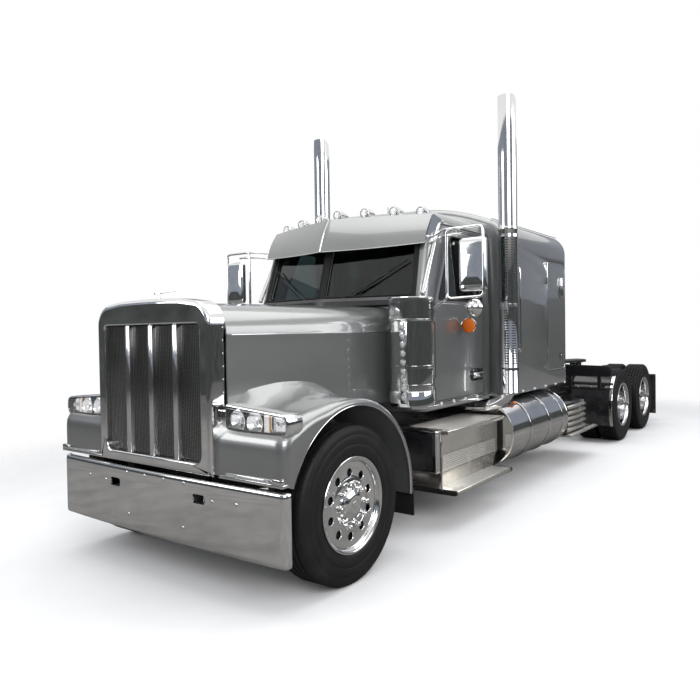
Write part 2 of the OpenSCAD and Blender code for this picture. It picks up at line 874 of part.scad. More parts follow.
module exhaust_stacks() {
  color("silver") both() union() {
    difference() {
      translate([stack_x, stack_y, frame_top + 50]) cylinder(r = stack_r, h = stack_top - frame_top - 50);
      translate([stack_x, stack_y, guard_top_z]) cylinder(r = stack_r - 4, h = stack_top);
      translate([stack_x - 2 * stack_r, stack_y - 200, stack_top - 190])
        rotate([0, -mitre_angle, 0]) cube([400, 400, 600]);
    }
    rod([stack_x, stack_y, frame_top + 90], [elbow_x, elbow_y, elbow_z], elbow_r);
    translate([elbow_x, elbow_y, elbow_z]) sphere(r = elbow_r + 8);
    drum_y(elbow_x, elbow_z, rail_half, elbow_y, elbow_r - 6);
    for (z = stack_bracket_z)
      block([sleeper_front_x - 40, sleeper_half, z], [stack_x, stack_y, z + 40]);
  }
}

module mirrors() {
  x = cab_nose_x - 255;
  bar = 12;
  inner_y = cab_half + 200;
  outer_y = inner_y + 330;
  color("silver") both() difference() {
    union() {
      rod([x, inner_y, belt_z], [x, inner_y, belt_z + 600], bar);
      rod([x, outer_y, belt_z + 20], [x, outer_y, belt_z + 580], bar);
      for (z = [belt_z + 20, belt_z + 580]) rod([x, inner_y, z], [x, outer_y, z], bar);
      rod([x, inner_y, belt_z + 12], [x - 60, cab_half - 12, belt_z - 90], bar);
      rod([x, inner_y, belt_z + 580], [x - 180, roof_half - 4, belt_z + 560], bar);
      block([x - 50, inner_y + 110, belt_z + 60], [x + 10, outer_y + 20, belt_z + 500]);
      translate([x - 20, outer_y - 110, belt_z - 70]) sphere(r = 75);
      rod([x, outer_y - 110, belt_z - 60], [x, outer_y - 110, belt_z + 20], bar);
    }
    cab_solid(0);
  }
}

module fuel_tanks() {
  color("silver") both() union() {
    translate([tank_rear_x, tank_y, tank_z]) rotate([0, 90, 0]) cylinder(r = tank_r, h = tank_len, $fn = 96);
    for (i = [0.2, 0.8]) {
      x = tank_front_x - tank_len * i;
      translate([x - 35, tank_y, tank_z]) rotate([0, 90, 0]) cylinder(r = tank_r + 8, h = 70, $fn = 96);
      block([x - 45, rail_half, tank_z - tank_r - 20], [x + 45, tank_y, tank_z - 120]);
      block([x - 45, rail_half, tank_z - 121], [x + 45, tank_y - tank_r + 80, frame_top - 20]);
    }
  }
}

module step_boxes() {
  x0 = step_x[1];
  x1 = step_x[0];
  color("silver") both() union() {
    block([x0, rail_half, 470], [x1, 1060, 840]);
    block([x0, 700, 800], [x1, 1140, 845]);
    block([x0, 640, 300], [step_low_x, 1220, 345]);
    for (x = [x0 + 10, step_low_x - 40]) block([x, 700, 344], [x + 30, 1050, 471]);
  }
}

module tool_boxes() {
  x1 = toolbox_x;
  x0 = toolbox_x - toolbox_len;
  color("silver") both() union() {
    block([x0, rail_half, 400], [x1, 1150, 780]);
    for (i = [0:4]) block([x0 + 15, 1149, 430 + 68 * i], [x1 - 15, 1170, 460 + 68 * i]);
    block([x0 - 380, 620, 370], [x1, 1205, 401]);
    block([x0 - 300, rail_half, 700], [x0 + 1, 560, deck_low_z]);
    block([x0 - 300, 540, 400], [x0 - 270, 640, 720]);
  }
}

module quarter_fenders() {
  r0 = tyre_r + 58;
  x = drive_x[0];
  color("silver") both() union() {
    slab_y(620, 1200) polygon(concat(arc(x, axle_z, r0 + 8, -26, 48, 20), arc(x, axle_z, r0, 48, -26, 20)));
    block([x + r0 - 100, rail_half, 800], [x + r0 - 40, 1180, 825]);
  }
}

module deck_plate() {
  color("silver") {
    block([deck_x[0], -rail_half, frame_top], [deck_x[1], rail_half, frame_top + deck_t]);
    both() block([wing_x[0], rail_half, deck_low_z], [wing_x[1], wing_half, frame_top + deck_t]);
  }
}

module mud_flaps() {
  x = rear_end_x;
  color("black") both() {
    block([x, flap_y[0], flap_z[0]], [x + flap_t, flap_y[1], flap_z[1]]);
    block([x, rail_half, flap_z[1] - 20], [x + 60, flap_y[1], flap_z[1] + 30]);
  }
}

// ---------------------------------------------------------------- fifth wheel

module fifth_wheel_base() {
  ear_y = [300, 360];
  color("dimgray") union() {
    block([fifth_x - 300, -rail_half, frame_top], [fifth_x + 300, rail_half, frame_top + 14]);
    both() difference() {
      slab_y(ear_y[0], ear_y[1]) polygon(concat(
        [[fifth_x + 150, frame_top + 13]],
        arc(fifth_x, fifth_pivot_z, 44, 20, 160, 10),
        [[fifth_x - 150, frame_top + 13]]
      ));
      drum_y(fifth_x, fifth_pivot_z, ear_y[0] - 1, ear_y[1] + 1, fifth_pin_r + run_fit);
    }
  }
}

module fifth_wheel() {
  plate_z = fifth_top - 40;
  lock_x = fifth_x + 20;
  color("dimgray") union() {
    difference() {
      intersection() {
        translate([fifth_x, 0, plate_z]) cylinder(r = fifth_plate_r, h = 40, $fn = 96);
        block([fifth_x - 600, -450, plate_z - 1], [fifth_x + 400, 450, fifth_top + 1]);
      }
      translate([0, 0, plate_z - 1]) linear_extrude(42) polygon([
        [lock_x - 62, 45], [fifth_x - 700, 330], [fifth_x - 700, -330], [lock_x - 62, -45]
      ]);
      translate([lock_x, 0, plate_z - 1]) cylinder(r = kingpin_lock_r, h = 42);
    }
    both() {
      for (y = [262, 364]) difference() {
        block([fifth_x - 90, y, fifth_pivot_z - 30], [fifth_x + 90, y + 34, plate_z + 1]);
        drum_y(fifth_x, fifth_pivot_z, y - 1, y + 35, fifth_pin_r - 1);
      }
      drum_y(fifth_x, fifth_pivot_z, 262, 398, fifth_pin_r);
    }
  }
}

// ---------------------------------------------------------------- steering

module knuckle() {
  ear = [axle_z - 95, axle_z - 65, axle_z + 75, axle_z + 105];
  difference() {
    union() {
      for (z = [ear[0], ear[2]]) {
        translate([0, kingpin_y, z]) cylinder(r = 46, h = 30);
        block([-46, kingpin_y, z], [46, kingpin_y + 85, z + 30]);
      }
      block([-46, kingpin_y + 55, ear[0]], [46, kingpin_y + 85, ear[3]]);
      translate([0, kingpin_y, ear[0]]) cylinder(r = kingpin_r, h = ear[3] - ear[0]);
      drum_y(0, axle_z, kingpin_y + 60, front_tyre_out - 60, front_spindle_r);
      block([-steer_arm, kingpin_y - 18, ear[0]], [0, kingpin_y + 18, ear[1]]);
      translate([-steer_arm, kingpin_y, ear[0]]) cylinder(r = 24, h = 30);
    }
    translate([-steer_arm, kingpin_y, ear[0] - 1]) cylinder(r = 14 + run_fit, h = 32);
  }
}

module left_knuckle() { color("dimgray") knuckle(); }

module right_knuckle() { color("dimgray") mirror([0, 1, 0]) knuckle(); }

module tie_rod() {
  z = axle_z - 130;
  color("dimgray") union() {
    rod([-steer_arm, -kingpin_y, z], [-steer_arm, kingpin_y, z], 18);
    for (s = [-1, 1]) translate([-steer_arm, s * kingpin_y, 0]) {
      translate([0, 0, z - 24]) cylinder(r = 26, h = 54);
      translate([0, 0, z + 29]) cylinder(r = 14, h = 40);
    }
  }
}

// ---------------------------------------------------------------- wheels

module tyre(x, y0) {
  in = rim_flange_r - 24;
  side = tyre_r - 90;
  translate([x, y0, axle_z]) rotate([-90, 0, 0]) rotate_extrude($fn = 96) polygon([
    [in, 20], [in + 30, 12], [side - 60, 0], [side, 0], [side + 55, 8], [tyre_r - 12, 22], [tyre_r, 40],
    [tyre_r, tyre_w - 40], [tyre_r - 12, tyre_w - 22], [side + 55, tyre_w - 8], [side, tyre_w],
    [side - 60, tyre_w], [in + 30, tyre_w - 12], [in, tyre_w - 20]
  ]);
}

// Rim with its disc at depth d from the inner edge, hub bored for the spindle
module rim(x, y0, d, hub_len, bore_r, bore_len) {
  r = rim_flange_r - 24 - seat_gap;
  translate([x, y0, axle_z]) rotate([-90, 0, 0]) difference() {
    union() {
      rotate_extrude($fn = 96) union() {
        translate([r - 14, 5]) square([14, tyre_w - 10]);
        for (y = [5, tyre_w - 12]) translate([r - 14, y]) square([38, 7]);
        translate([60, d]) square([r - 60, 22]);
      }
      translate([0, 0, d - 60]) cylinder(r = 105, h = hub_len);
    }
    translate([0, 0, d - 61]) cylinder(r = bore_r, h = bore_len);
    for (i = [0:hand_holes - 1])
      rotate(i * 360 / hand_holes) translate([hand_hole_pcr, 0, d - 1]) cylinder(r = 28, h = 24, $fn = 32);
  }
}

module front_tyre() { tyre(0, front_tyre_out - tyre_w); }

module front_rim() {
  disc = tyre_w - 60;
  rim(0, front_tyre_out - tyre_w, disc, 120, front_spindle_r + run_fit, 92);
}

module left_front_tyre() { color("black") front_tyre(); }

module left_front_rim() { color("silver") front_rim(); }

module right_front_tyre() { color("black") mirror([0, 1, 0]) front_tyre(); }

module right_front_rim() { color("silver") mirror([0, 1, 0]) front_rim(); }

module drive_tyres(x) {
  tyre(x, rear_tyre_out - tyre_w);
  tyre(x, rear_tyre_out - 2 * tyre_w - dual_gap);
}

module drive_rims(x) {
  outer_y = rear_tyre_out - tyre_w;
  inner_y = outer_y - tyre_w - dual_gap;
  spacer = tyre_w - 12;
  union() {
    rim(x, outer_y, 14, 250, rear_spindle_r + run_fit, 212);
    difference() {
      rim(x, inner_y, tyre_w - 36, 150, rear_spindle_r + run_fit, 160);
      drum_y(x, axle_z, inner_y + 100, outer_y + 60, rear_spindle_r + run_fit);
    }
    difference() {
      drum_y(x, axle_z, inner_y + spacer - 30, outer_y + 20, 180);
      drum_y(x, axle_z, inner_y + spacer - 31, outer_y + 21, rear_spindle_r + run_fit);
    }
  }
}

module left_drive_tyres_1() { color("black") drive_tyres(drive_x[0]); }

module left_drive_rims_1() { color("silver") drive_rims(drive_x[0]); }

module right_drive_tyres_1() { color("black") mirror([0, 1, 0]) drive_tyres(drive_x[0]); }

module right_drive_rims_1() { color("silver") mirror([0, 1, 0]) drive_rims(drive_x[0]); }

module left_drive_tyres_2() { color("black") drive_tyres(drive_x[1]); }

module left_drive_rims_2() { color("silver") drive_rims(drive_x[1]); }

module right_drive_tyres_2() { color("black") mirror([0, 1, 0]) drive_tyres(drive_x[1]); }

module right_drive_rims_2() { color("silver") mirror([0, 1, 0]) drive_rims(drive_x[1]); }

// ---------------------------------------------------------------- nodes

placed() frame_rails();
placed() crossmembers();
placed() front_bumper();
placed() front_axle();
placed() rear_axles();
placed() rear_suspension();
placed() engine_block();
placed() driveline();
placed() radiator();
placed() cab_shell();
placed() windshield();
placed() sun_visor();
placed() dashboard();
placed() seats();
placed() sleeper_shell();
placed() bunk();
placed() air_cleaners();
placed() exhaust_stacks();
placed() mirrors();
placed() fuel_tanks();
placed() step_boxes();
placed() tool_boxes();
placed() quarter_fenders();
placed() deck_plate();
placed() mud_flaps();
placed() fifth_wheel_base();
placed() hood_shell();
placed() fenders();
placed() grille_surround();
placed() grille_screen();
placed() headlights();
placed() left_door();
placed() left_door_glass();
placed() right_door();
placed() right_door_glass();
placed() left_baggage_door();
placed() right_baggage_door();
placed() fifth_wheel();
placed() left_knuckle();
placed() right_knuckle();
placed() tie_rod();
placed() left_front_tyre();
placed() left_front_rim();
placed() right_front_tyre();
placed() right_front_rim();
placed() left_drive_tyres_1();
placed() left_drive_rims_1();
placed() right_drive_tyres_1();
placed() right_drive_rims_1();
placed() left_drive_tyres_2();
placed() left_drive_rims_2();
placed() right_drive_tyres_2();
placed() right_drive_rims_2();
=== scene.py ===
import logging
import math
from collections.abc import Callable, Sequence
from dataclasses import dataclass, field
from enum import Enum

import bmesh
import bpy
from mathutils import Matrix, Vector


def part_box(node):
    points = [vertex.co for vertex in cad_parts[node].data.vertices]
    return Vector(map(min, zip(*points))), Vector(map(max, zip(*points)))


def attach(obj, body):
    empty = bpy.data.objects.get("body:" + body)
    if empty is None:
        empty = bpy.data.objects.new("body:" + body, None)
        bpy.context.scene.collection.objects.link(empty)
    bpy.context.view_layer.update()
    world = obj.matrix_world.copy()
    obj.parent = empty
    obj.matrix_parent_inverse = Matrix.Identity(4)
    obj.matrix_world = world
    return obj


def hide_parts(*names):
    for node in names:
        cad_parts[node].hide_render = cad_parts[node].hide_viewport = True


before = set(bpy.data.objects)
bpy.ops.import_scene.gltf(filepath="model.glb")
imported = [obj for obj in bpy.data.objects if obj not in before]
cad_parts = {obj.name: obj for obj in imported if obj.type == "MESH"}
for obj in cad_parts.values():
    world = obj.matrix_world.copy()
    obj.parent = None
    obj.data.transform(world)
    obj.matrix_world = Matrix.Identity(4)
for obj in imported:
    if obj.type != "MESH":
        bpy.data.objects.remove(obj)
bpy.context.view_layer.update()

log = logging.getLogger("tractor")

Point = tuple[float, float, float]
Pair = tuple[float, float]

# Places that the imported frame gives, all in metres. X is forward, Y left, Z up.
AXLE_X = sum(c.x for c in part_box("left_front_tyre")) / 2
AXLE_Z = sum(c.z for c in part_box("left_front_tyre")) / 2
TYRE_R = AXLE_Z
REAR_X = [sum(c.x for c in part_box(f"left_drive_tyres_{i}")) / 2 for i in (1, 2)]
FRAME_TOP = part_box("frame_rails")[1].z


def ax(station: float) -> float:
    """The X of a station measured forward from the front axle."""
    return AXLE_X + station


# ---------------------------------------------------------------- shader building


class Sock:
    """A value socket of a shader tree that adds Math nodes when it is used in an expression."""

    def __init__(self, tree: bpy.types.NodeTree, socket: bpy.types.NodeSocket) -> None:
        """Wraps one output socket."""
        self.tree, self.socket = tree, socket

    def math(self, operation: str, *values: "Sock | float", clamp: bool = False) -> "Sock":
        """Adds one Math node.

        Args:
            operation: The node's operation.
            values: Its values, links or numbers.
            clamp: Whether the result is held between 0 and 1.

        Returns:
            The node's output.
        """
        node = self.tree.nodes.new("ShaderNodeMath")
        node.operation, node.use_clamp = operation, clamp
        for slot, value in zip(node.inputs, values):
            if isinstance(value, Sock):
                self.tree.links.new(value.socket, slot)
            else:
                slot.default_value = value
        return Sock(self.tree, node.outputs[0])

    def __add__(self, other: "Sock | float") -> "Sock":
        """Sum."""
        return self.math("ADD", self, other)

    def __radd__(self, other: float) -> "Sock":
        """Sum with a number first."""
        return self.math("ADD", other, self)

    def __sub__(self, other: "Sock | float") -> "Sock":
        """Difference."""
        return self.math("SUBTRACT", self, other)

    def __rsub__(self, other: float) -> "Sock":
        """A number less this."""
        return self.math("SUBTRACT", other, self)

    def __mul__(self, other: "Sock | float") -> "Sock":
        """Product."""
        return self.math("MULTIPLY", self, other)

    def __rmul__(self, other: float) -> "Sock":
        """Product with a number first."""
        return self.math("MULTIPLY", other, self)

    def __truediv__(self, other: "Sock | float") -> "Sock":
        """Quotient."""
        return self.math("DIVIDE", self, other)

    def __pow__(self, other: float) -> "Sock":
        """Power."""
        return self.math("POWER", self, other)

    def sine(self) -> "Sock":
        """Sine of this in radians."""
        return self.math("SINE", self)

    def clamp(self) -> "Sock":
        """This, held between 0 and 1."""
        return self.math("ADD", self, 0.0, clamp=True)

    def step(self, low: float, high: float) -> "Sock":
        """0 below low, 1 above high and smooth between.

        Args:
            low: Where the rise starts.
            high: Where it ends.

        Returns:
            The eased mask.
        """
        node = self.tree.nodes.new("ShaderNodeMapRange")
        node.interpolation_type = "SMOOTHSTEP"
        self.tree.links.new(self.socket, node.inputs["Value"])
        node.inputs["From Min"].default_value, node.inputs["From Max"].default_value = low, high
        return Sock(self.tree, node.outputs["Result"])


class Shader:
    """One material under construction."""

    def __init__(self, name: str) -> None:
        """Makes an empty node material."""
        self.material = bpy.data.materials.new(name)
        self.material.use_nodes = True
        self.tree = self.material.node_tree
        self.tree.nodes.clear()

    def add(self, kind: str, settings: dict | None = None, values: dict | None = None) -> bpy.types.Node:
        """Adds any node.

        Args:
            kind: The node's type.
            settings: Its properties, set first.
            values: Numbers, colours or links for its input sockets, by name or index.

        Returns:
            The node.
        """
        node = self.tree.nodes.new(kind)
        for key, value in (settings or {}).items():
            if key == "stops":
                ramp = node.color_ramp
                while len(ramp.elements) < len(value):
                    ramp.elements.new(0.5)
                for element, (place, colour) in zip(ramp.elements, value):
                    element.position, element.color = place, colour
            else:
                setattr(node, key, value)
        for key, value in (values or {}).items():
            if isinstance(value, Sock):
                self.tree.links.new(value.socket, node.inputs[key])
            elif isinstance(value, bpy.types.NodeSocket):
                self.tree.links.new(value, node.inputs[key])
            else:
                node.inputs[key].default_value = value
        return node

    def sock(self, node: bpy.types.Node, output: str | int = 0) -> Sock:
        """One output of a node as a value."""
        return Sock(self.tree, node.outputs[output])

    def place(self, scale: Point = (1, 1, 1), offset: Point = (0, 0, 0)) -> bpy.types.NodeSocket:
        """Object coordinates, moved and scaled.

        Args:
            scale: Factors along the axes.
            offset: Added after scaling.

        Returns:
            The vector socket.
        """
        coord = self.add("ShaderNodeTexCoord")
        node = self.add("ShaderNodeMapping", None, {"Vector": coord.outputs["Object"], "Scale": scale,
            "Location": offset})
        return node.outputs[0]

    def axes(self) -> tuple[Sock, Sock, Sock]:
        """Object X, Y and Z as three values."""
        node = self.add("ShaderNodeSeparateXYZ", None, {0: self.place()})
        return self.sock(node, 0), self.sock(node, 1), self.sock(node, 2)

    def noise(self, scale: float, detail: float = 3.0, stretch: Point = (1, 1, 1),
            rough: float = 0.55) -> Sock:
        """Noise between 0 and 1 on object coordinates.

        Args:
            scale: Cells a metre.
            detail: Octaves.
            stretch: Factors along the axes.
            rough: How strong the fine octaves are.

        Returns:
            The noise value.
        """
        values = {"Vector": self.place(stretch), "Scale": scale, "Detail": detail, "Roughness": rough}
        return self.sock(self.add("ShaderNodeTexNoise", None, values), 0)

    def cells(self, scale: float, output: str = "Distance", stretch: Point = (1, 1, 1)) -> Sock:
        """Voronoi cells on object coordinates.

        Args:
            scale: Cells a metre.
            output: Distance or Color.
            stretch: Factors along the axes.

        Returns:
            The chosen output.
        """
        return self.sock(self.add("ShaderNodeTexVoronoi", None,
            {"Vector": self.place(stretch), "Scale": scale}), output)

    def blend(self, factor: Sock, low: Sequence[float], high: Sequence[float]) -> bpy.types.NodeSocket:
        """Mixes two colours.

        Args:
            factor: 0 gives low and 1 gives high.
            low: First colour.
            high: Second colour.

        Returns:
            The colour socket.
        """
        node = self.add("ShaderNodeMix", {"data_type": "RGBA"}, {0: factor})
        for index, colour in ((6, low), (7, high)):
            if isinstance(colour, bpy.types.NodeSocket):
                self.tree.links.new(colour, node.inputs[index])
            else:
                node.inputs[index].default_value = (*colour[:3], 1.0)
        return node.outputs[2]

    def bump(self, height: Sock, strength: float, distance: float) -> bpy.types.NodeSocket:
        """A normal bent by a height.

        Args:
            height: The height value.
            strength: How much of it shows.
            distance: Its size in metres.

        Returns:
            The normal socket.
        """
        return self.add("ShaderNodeBump", None, {"Height": height, "Strength": strength,
            "Distance": distance}).outputs[0]

    def close(self, values: dict) -> bpy.types.Material:
        """Ends the tree in a Principled shader.

        Args:
            values: Its inputs by name.

        Returns:
            The material.
        """
        body = self.add("ShaderNodeBsdfPrincipled", None, values)
        self.add("ShaderNodeOutputMaterial", None, {"Surface": body.outputs[0]})
        return self.material


_made: dict[str, bpy.types.Material] = {}


@dataclass(frozen=True)
class Finish:
    """A finish with fine grain in its roughness and bump."""

    name: str
    colour: Point
    dark: Point
    metallic: float = 0.0
    roughness: float = 0.4
    spread: float = 0.1
    grain: float = 40.0
    stretch: Point = (1, 1, 1)
    bump: float = 0.1
    depth: float = 0.0005
    dust: float = 0.0

    def material(self) -> bpy.types.Material:
        """The finish's material, built once."""
        if self.name not in _made:
            _made[self.name] = self.build(Shader(self.name))
        return _made[self.name]

    def base(self, s: Shader, mask: Sock) -> bpy.types.NodeSocket:
        """The base colour: two tones, with road dust low on the vehicle.

        Args:
            s: The shader.
            mask: Chooses between the tones.

        Returns:
            The colour socket.
        """
        tone = s.blend(mask, self.dark, self.colour)
        if not self.dust:
            return tone
        height = s.axes()[2]
        low = (1.0 - height.step(0.1, 1.1)) * s.noise(7.0, 5.0).step(0.35, 0.75) * self.dust
        return s.blend(low, tone, (0.23, 0.2, 0.17))

    def build(self, s: Shader) -> bpy.types.Material:
        """Fills the node tree."""
        grain = s.noise(self.grain, 4.0, self.stretch)
        wide = s.noise(2.3, 3.0)
        values = {
            "Base Color": self.base(s, wide.step(0.3, 0.7)),
            "Metallic": self.metallic,
            "Roughness": (grain - 0.5) * self.spread + (wide - 0.5) * self.spread + self.roughness,
            "Normal": s.bump(grain, self.bump, self.depth),
        }
        return s.close(values | self.extras())

    def extras(self) -> dict:
        """Further uniform inputs of the shader."""
        return {}


@dataclass(frozen=True)
class Enamel(Finish):
    """Metallic enamel under clear coat, with flakes and slight orange peel."""

    def build(self, s: Shader) -> bpy.types.Material:
        """Fills the node tree."""
        flake = s.cells(1400.0, "Distance")
        peel = s.noise(95.0, 2.0)
        wide = s.noise(1.1, 3.0)
        values = {
            "Base Color": self.base(s, (flake * 0.5 + wide * 0.5).step(0.15, 0.75)),
            "Metallic": self.metallic,
            "Roughness": flake * 0.12 + (wide - 0.5) * self.spread + self.roughness,
            "Normal": s.bump(flake * 0.4 + peel * 0.6, self.bump, self.depth),
            "Coat Weight": 1.0,
            "Coat Roughness": 0.035,
        }
        return s.close(values)


@dataclass(frozen=True)
class Bright(Finish):
    """Chrome or polished metal with faint smears and hairline scratches."""

    def build(self, s: Shader) -> bpy.types.Material:
        """Fills the node tree."""
        smear = s.noise(5.0, 5.0, (1, 1, 0.5)).step(0.42, 0.78)
        hair = s.noise(self.grain, 2.0, self.stretch)
        values = {
            "Base Color": self.base(s, s.noise(1.7, 2.0).step(0.2, 0.6)),
            "Metallic": 1.0,
            "Roughness": smear * self.spread + (hair - 0.5) * self.spread * 0.5 + self.roughness,
            "Normal": s.bump(hair, self.bump, self.depth),
        }
        return s.close(values)


@dataclass(frozen=True)
class Rubber(Finish):
    """Tyre or sheet rubber, greyed by dust in patches."""

    def build(self, s: Shader) -> bpy.types.Material:
        """Fills the node tree."""
        fine = s.noise(260.0, 3.0)
        patch = s.noise(6.0, 6.0).step(0.45, 0.8)
        values = {
            "Base Color": s.blend(patch * self.dust, s.blend(fine, self.dark, self.colour),
            (0.12, 0.11, 0.1)),
            "Roughness": fine * 0.12 + patch * 0.12 + self.roughness,
            "Specular IOR Level": 0.22,
            "Normal": s.bump(fine, self.bump, self.depth),
        }
        return s.close(values)


@dataclass(frozen=True)
class Glazing(Finish):
    """Clear or tinted glass or lens plastic."""

    passes: float = 1.0
    ribs: float = 0.0

    def build(self, s: Shader) -> bpy.types.Material:
        """Fills the node tree."""
        film = s.noise(9.0, 4.0).step(0.5, 0.9)
        _, y, z = s.axes()
        ridge = (y * self.ribs).sine() + (z * self.ribs).sine() if self.ribs else s.noise(60.0, 1.0)
        values = {
            "Base Color": s.blend(film, self.colour, self.dark),
            "Roughness": film * self.spread + self.roughness,
            "Normal": s.bump(ridge, self.bump, self.depth),
            "Transmission Weight": self.passes,
            "IOR": 1.46,
        }
        return s.close(values)


@dataclass(frozen=True)
class Fading(Finish):
    """A floor that thins out to nothing away from the middle."""

    near: float = 4.0
    far: float = 7.2

    def build(self, s: Shader) -> bpy.types.Material:
        """Fills the node tree."""
        x, y, _ = s.axes()
        reach = (x * x * 0.55 + y * y) ** 0.5
        grain = s.noise(self.grain, 4.0, self.stretch)
        values = {
            "Base Color": self.base(s, grain.step(0.3, 0.7)),
            "Roughness": (grain - 0.5) * self.spread + self.roughness,
            "Alpha": 1.0 - reach.step(self.near, self.far),
            "Normal": s.bump(grain, self.bump, self.depth),
        }
        return s.close(values)


@dataclass(frozen=True)
class Weave(Finish):
    """Woven seat cloth: crossed yarns with a heathered tone."""

    yarn: float = 1500.0

    def build(self, s: Shader) -> bpy.types.Material:
        """Fills the node tree."""
        x, y, z = s.axes()
        warp = ((x + z) * self.yarn).sine()
        weft = (y * self.yarn).sine()
        cloth = (warp * weft + 1.0) * 0.5
        heather = s.noise(420.0, 3.0, (1, 0.25, 1))
        values = {
            "Base Color": s.blend((cloth * 0.5 + heather * 0.5).clamp(), self.dark, self.colour),
            "Roughness": heather * 0.1 + self.roughness,
            "Normal": s.bump(cloth, self.bump, self.depth),
            "Sheen Weight": 0.25,
        }
        return s.close(values)


@dataclass(frozen=True)
class Grain(Finish):
    """Moulded trim or leather with a pebbled grain."""

    def build(self, s: Shader) -> bpy.types.Material:
        """Fills the node tree."""
        pebble = s.cells(self.grain, "Distance")
        wide = s.noise(4.0, 4.0)
        values = {
            "Base Color": s.blend((pebble * 0.6 + wide * 0.4).step(0.1, 0.7), self.dark, self.colour),
            "Roughness": wide * self.spread + self.roughness,
            "Normal": s.bump(pebble, self.bump, self.depth),
        }
        return s.close(values)


PAINT = Enamel("silver_grey_enamel", (0.232, 0.237, 0.234), (0.175, 0.179, 0.18), 0.72, 0.24, 0.06,
    bump=0.05, depth=0.0003, dust=0.15)
CHROME = Bright("chrome_plate", (0.8, 0.8, 0.8), (0.72, 0.72, 0.72), 1.0, 0.035, 0.05, 90.0, (1, 6, 1),
    0.02, 0.0002, 0.12)
ALLOY = Bright("polished_alloy", (0.74, 0.74, 0.745), (0.62, 0.62, 0.625), 1.0, 0.1, 0.08, 160.0, (1, 1, 9),
    0.04, 0.0003, 0.06)
TREAD_ALLOY = Bright("ribbed_alloy", (0.82, 0.8, 0.76), (0.74, 0.72, 0.69), 1.0, 0.32, 0.06, 120.0,
    (8, 1, 1), 0.12, 0.0003, 0.04)
MILL = Bright("mill_alloy", (0.8, 0.78, 0.73), (0.7, 0.68, 0.64), 1.0, 0.24, 0.06, 140.0, (1, 9, 9), 0.06,
    0.0003, 0.05)
STEEL = Bright("brushed_steel", (0.56, 0.57, 0.58), (0.46, 0.47, 0.48), 1.0, 0.2, 0.1, 200.0, (1, 1, 12),
    0.1, 0.0003)
MESH_WIRE = Bright("grille_wire", (0.26, 0.26, 0.255), (0.16, 0.16, 0.16), 1.0, 0.28, 0.08, 150.0,
    bump=0.05)
CHASSIS = Finish("chassis_black", (0.022, 0.022, 0.024), (0.012, 0.012, 0.014), 0.0, 0.38, 0.2, 60.0,
    bump=0.2, dust=0.35)
GLOSS_BLACK = Finish("gloss_black", (0.014, 0.014, 0.016), (0.008, 0.008, 0.01), 0.0, 0.12, 0.06, 70.0,
    bump=0.05, dust=0.15)
CASTING = Finish("iron_casting", (0.06, 0.06, 0.062), (0.025, 0.025, 0.027), 0.4, 0.55, 0.2, 130.0,
    bump=0.5, depth=0.001, dust=0.4)
GREASED = Finish("greased_iron", (0.07, 0.065, 0.06), (0.02, 0.02, 0.02), 0.7, 0.33, 0.3, 50.0, bump=0.3,
    depth=0.001)
CORE = Finish("radiator_core", (0.03, 0.03, 0.03), (0.008, 0.008, 0.008), 0.3, 0.6, 0.1, 600.0, (1, 0.1, 8),
    0.6, 0.002)
TYRE = Rubber("tyre_rubber", (0.01, 0.01, 0.0105), (0.005, 0.005, 0.0055), 0.0, 0.42, bump=0.22,
    depth=0.0005, dust=0.05)
SEAL = Rubber("black_rubber", (0.011, 0.011, 0.012), (0.006, 0.006, 0.006), 0.0, 0.48, bump=0.18,
    depth=0.0004, dust=0.06)
WINDOW = Glazing("tinted_glass", (0.13, 0.17, 0.17), (0.09, 0.12, 0.12), 0.0, 0.01, 0.03, bump=0.008,
    depth=0.0001)
CLEAR = Glazing("clear_lens", (0.96, 0.97, 0.98), (0.9, 0.91, 0.92), 0.0, 0.02, 0.03, bump=0.03,
    depth=0.0003)
AMBER = Glazing("amber_lens", (1.0, 0.21, 0.01), (0.9, 0.15, 0.005), 0.0, 0.08, 0.06, bump=0.35,
    depth=0.001, passes=0.35, ribs=900.0)
SIGNAL = Glazing("signal_lens", (1.0, 0.42, 0.03), (0.9, 0.33, 0.02), 0.0, 0.08, 0.06, bump=0.35,
    depth=0.001, passes=0.3, ribs=900.0)
RED = Glazing("red_lens", (0.75, 0.01, 0.01), (0.55, 0.005, 0.005), 0.0, 0.08, 0.06, bump=0.35, depth=0.001,
    passes=0.3, ribs=900.0)
CRYSTAL = Glazing("crystal_lens", (0.93, 0.94, 0.95), (0.85, 0.86, 0.87), 0.0, 0.05, 0.05, bump=0.5,
    depth=0.001, passes=0.55, ribs=700.0)
MIRROR = Bright("mirror_glass", (0.86, 0.87, 0.88), (0.84, 0.85, 0.86), 1.0, 0.012, 0.01, 90.0, bump=0.0)
DASH = Grain("dash_trim", (0.035, 0.035, 0.038), (0.015, 0.015, 0.016), 0.0, 0.55, 0.15, 900.0, bump=0.3,
    depth=0.0004)
LINING = Grain("cab_lining", (0.16, 0.155, 0.15), (0.1, 0.098, 0.095), 0.0, 0.7, 0.1, 600.0, bump=0.3,
    depth=0.0005)
CLOTH = Weave("seat_cloth", (0.17, 0.165, 0.16), (0.06, 0.058, 0.056), 0.0, 0.85, bump=0.5, depth=0.0008)
LEATHER = Grain("seat_leather", (0.075, 0.072, 0.07), (0.03, 0.029, 0.028), 0.0, 0.42, 0.15, 420.0,
    bump=0.35, depth=0.0005)
SCREED = Fading("studio_floor", (0.9, 0.9, 0.9), (0.88, 0.88, 0.88), 0.0, 0.7, 0.05, 3.0, bump=0.02,
    depth=0.0005)
YARD = Finish("dark_yard", (0.22, 0.215, 0.2), (0.16, 0.155, 0.15), 0.0, 0.9, 0.05, 2.0, bump=0.1)
HAZE = Finish("grey_haze", (0.42, 0.45, 0.5), (0.34, 0.37, 0.42), 0.0, 0.9, 0.05, 0.4, bump=0.05)
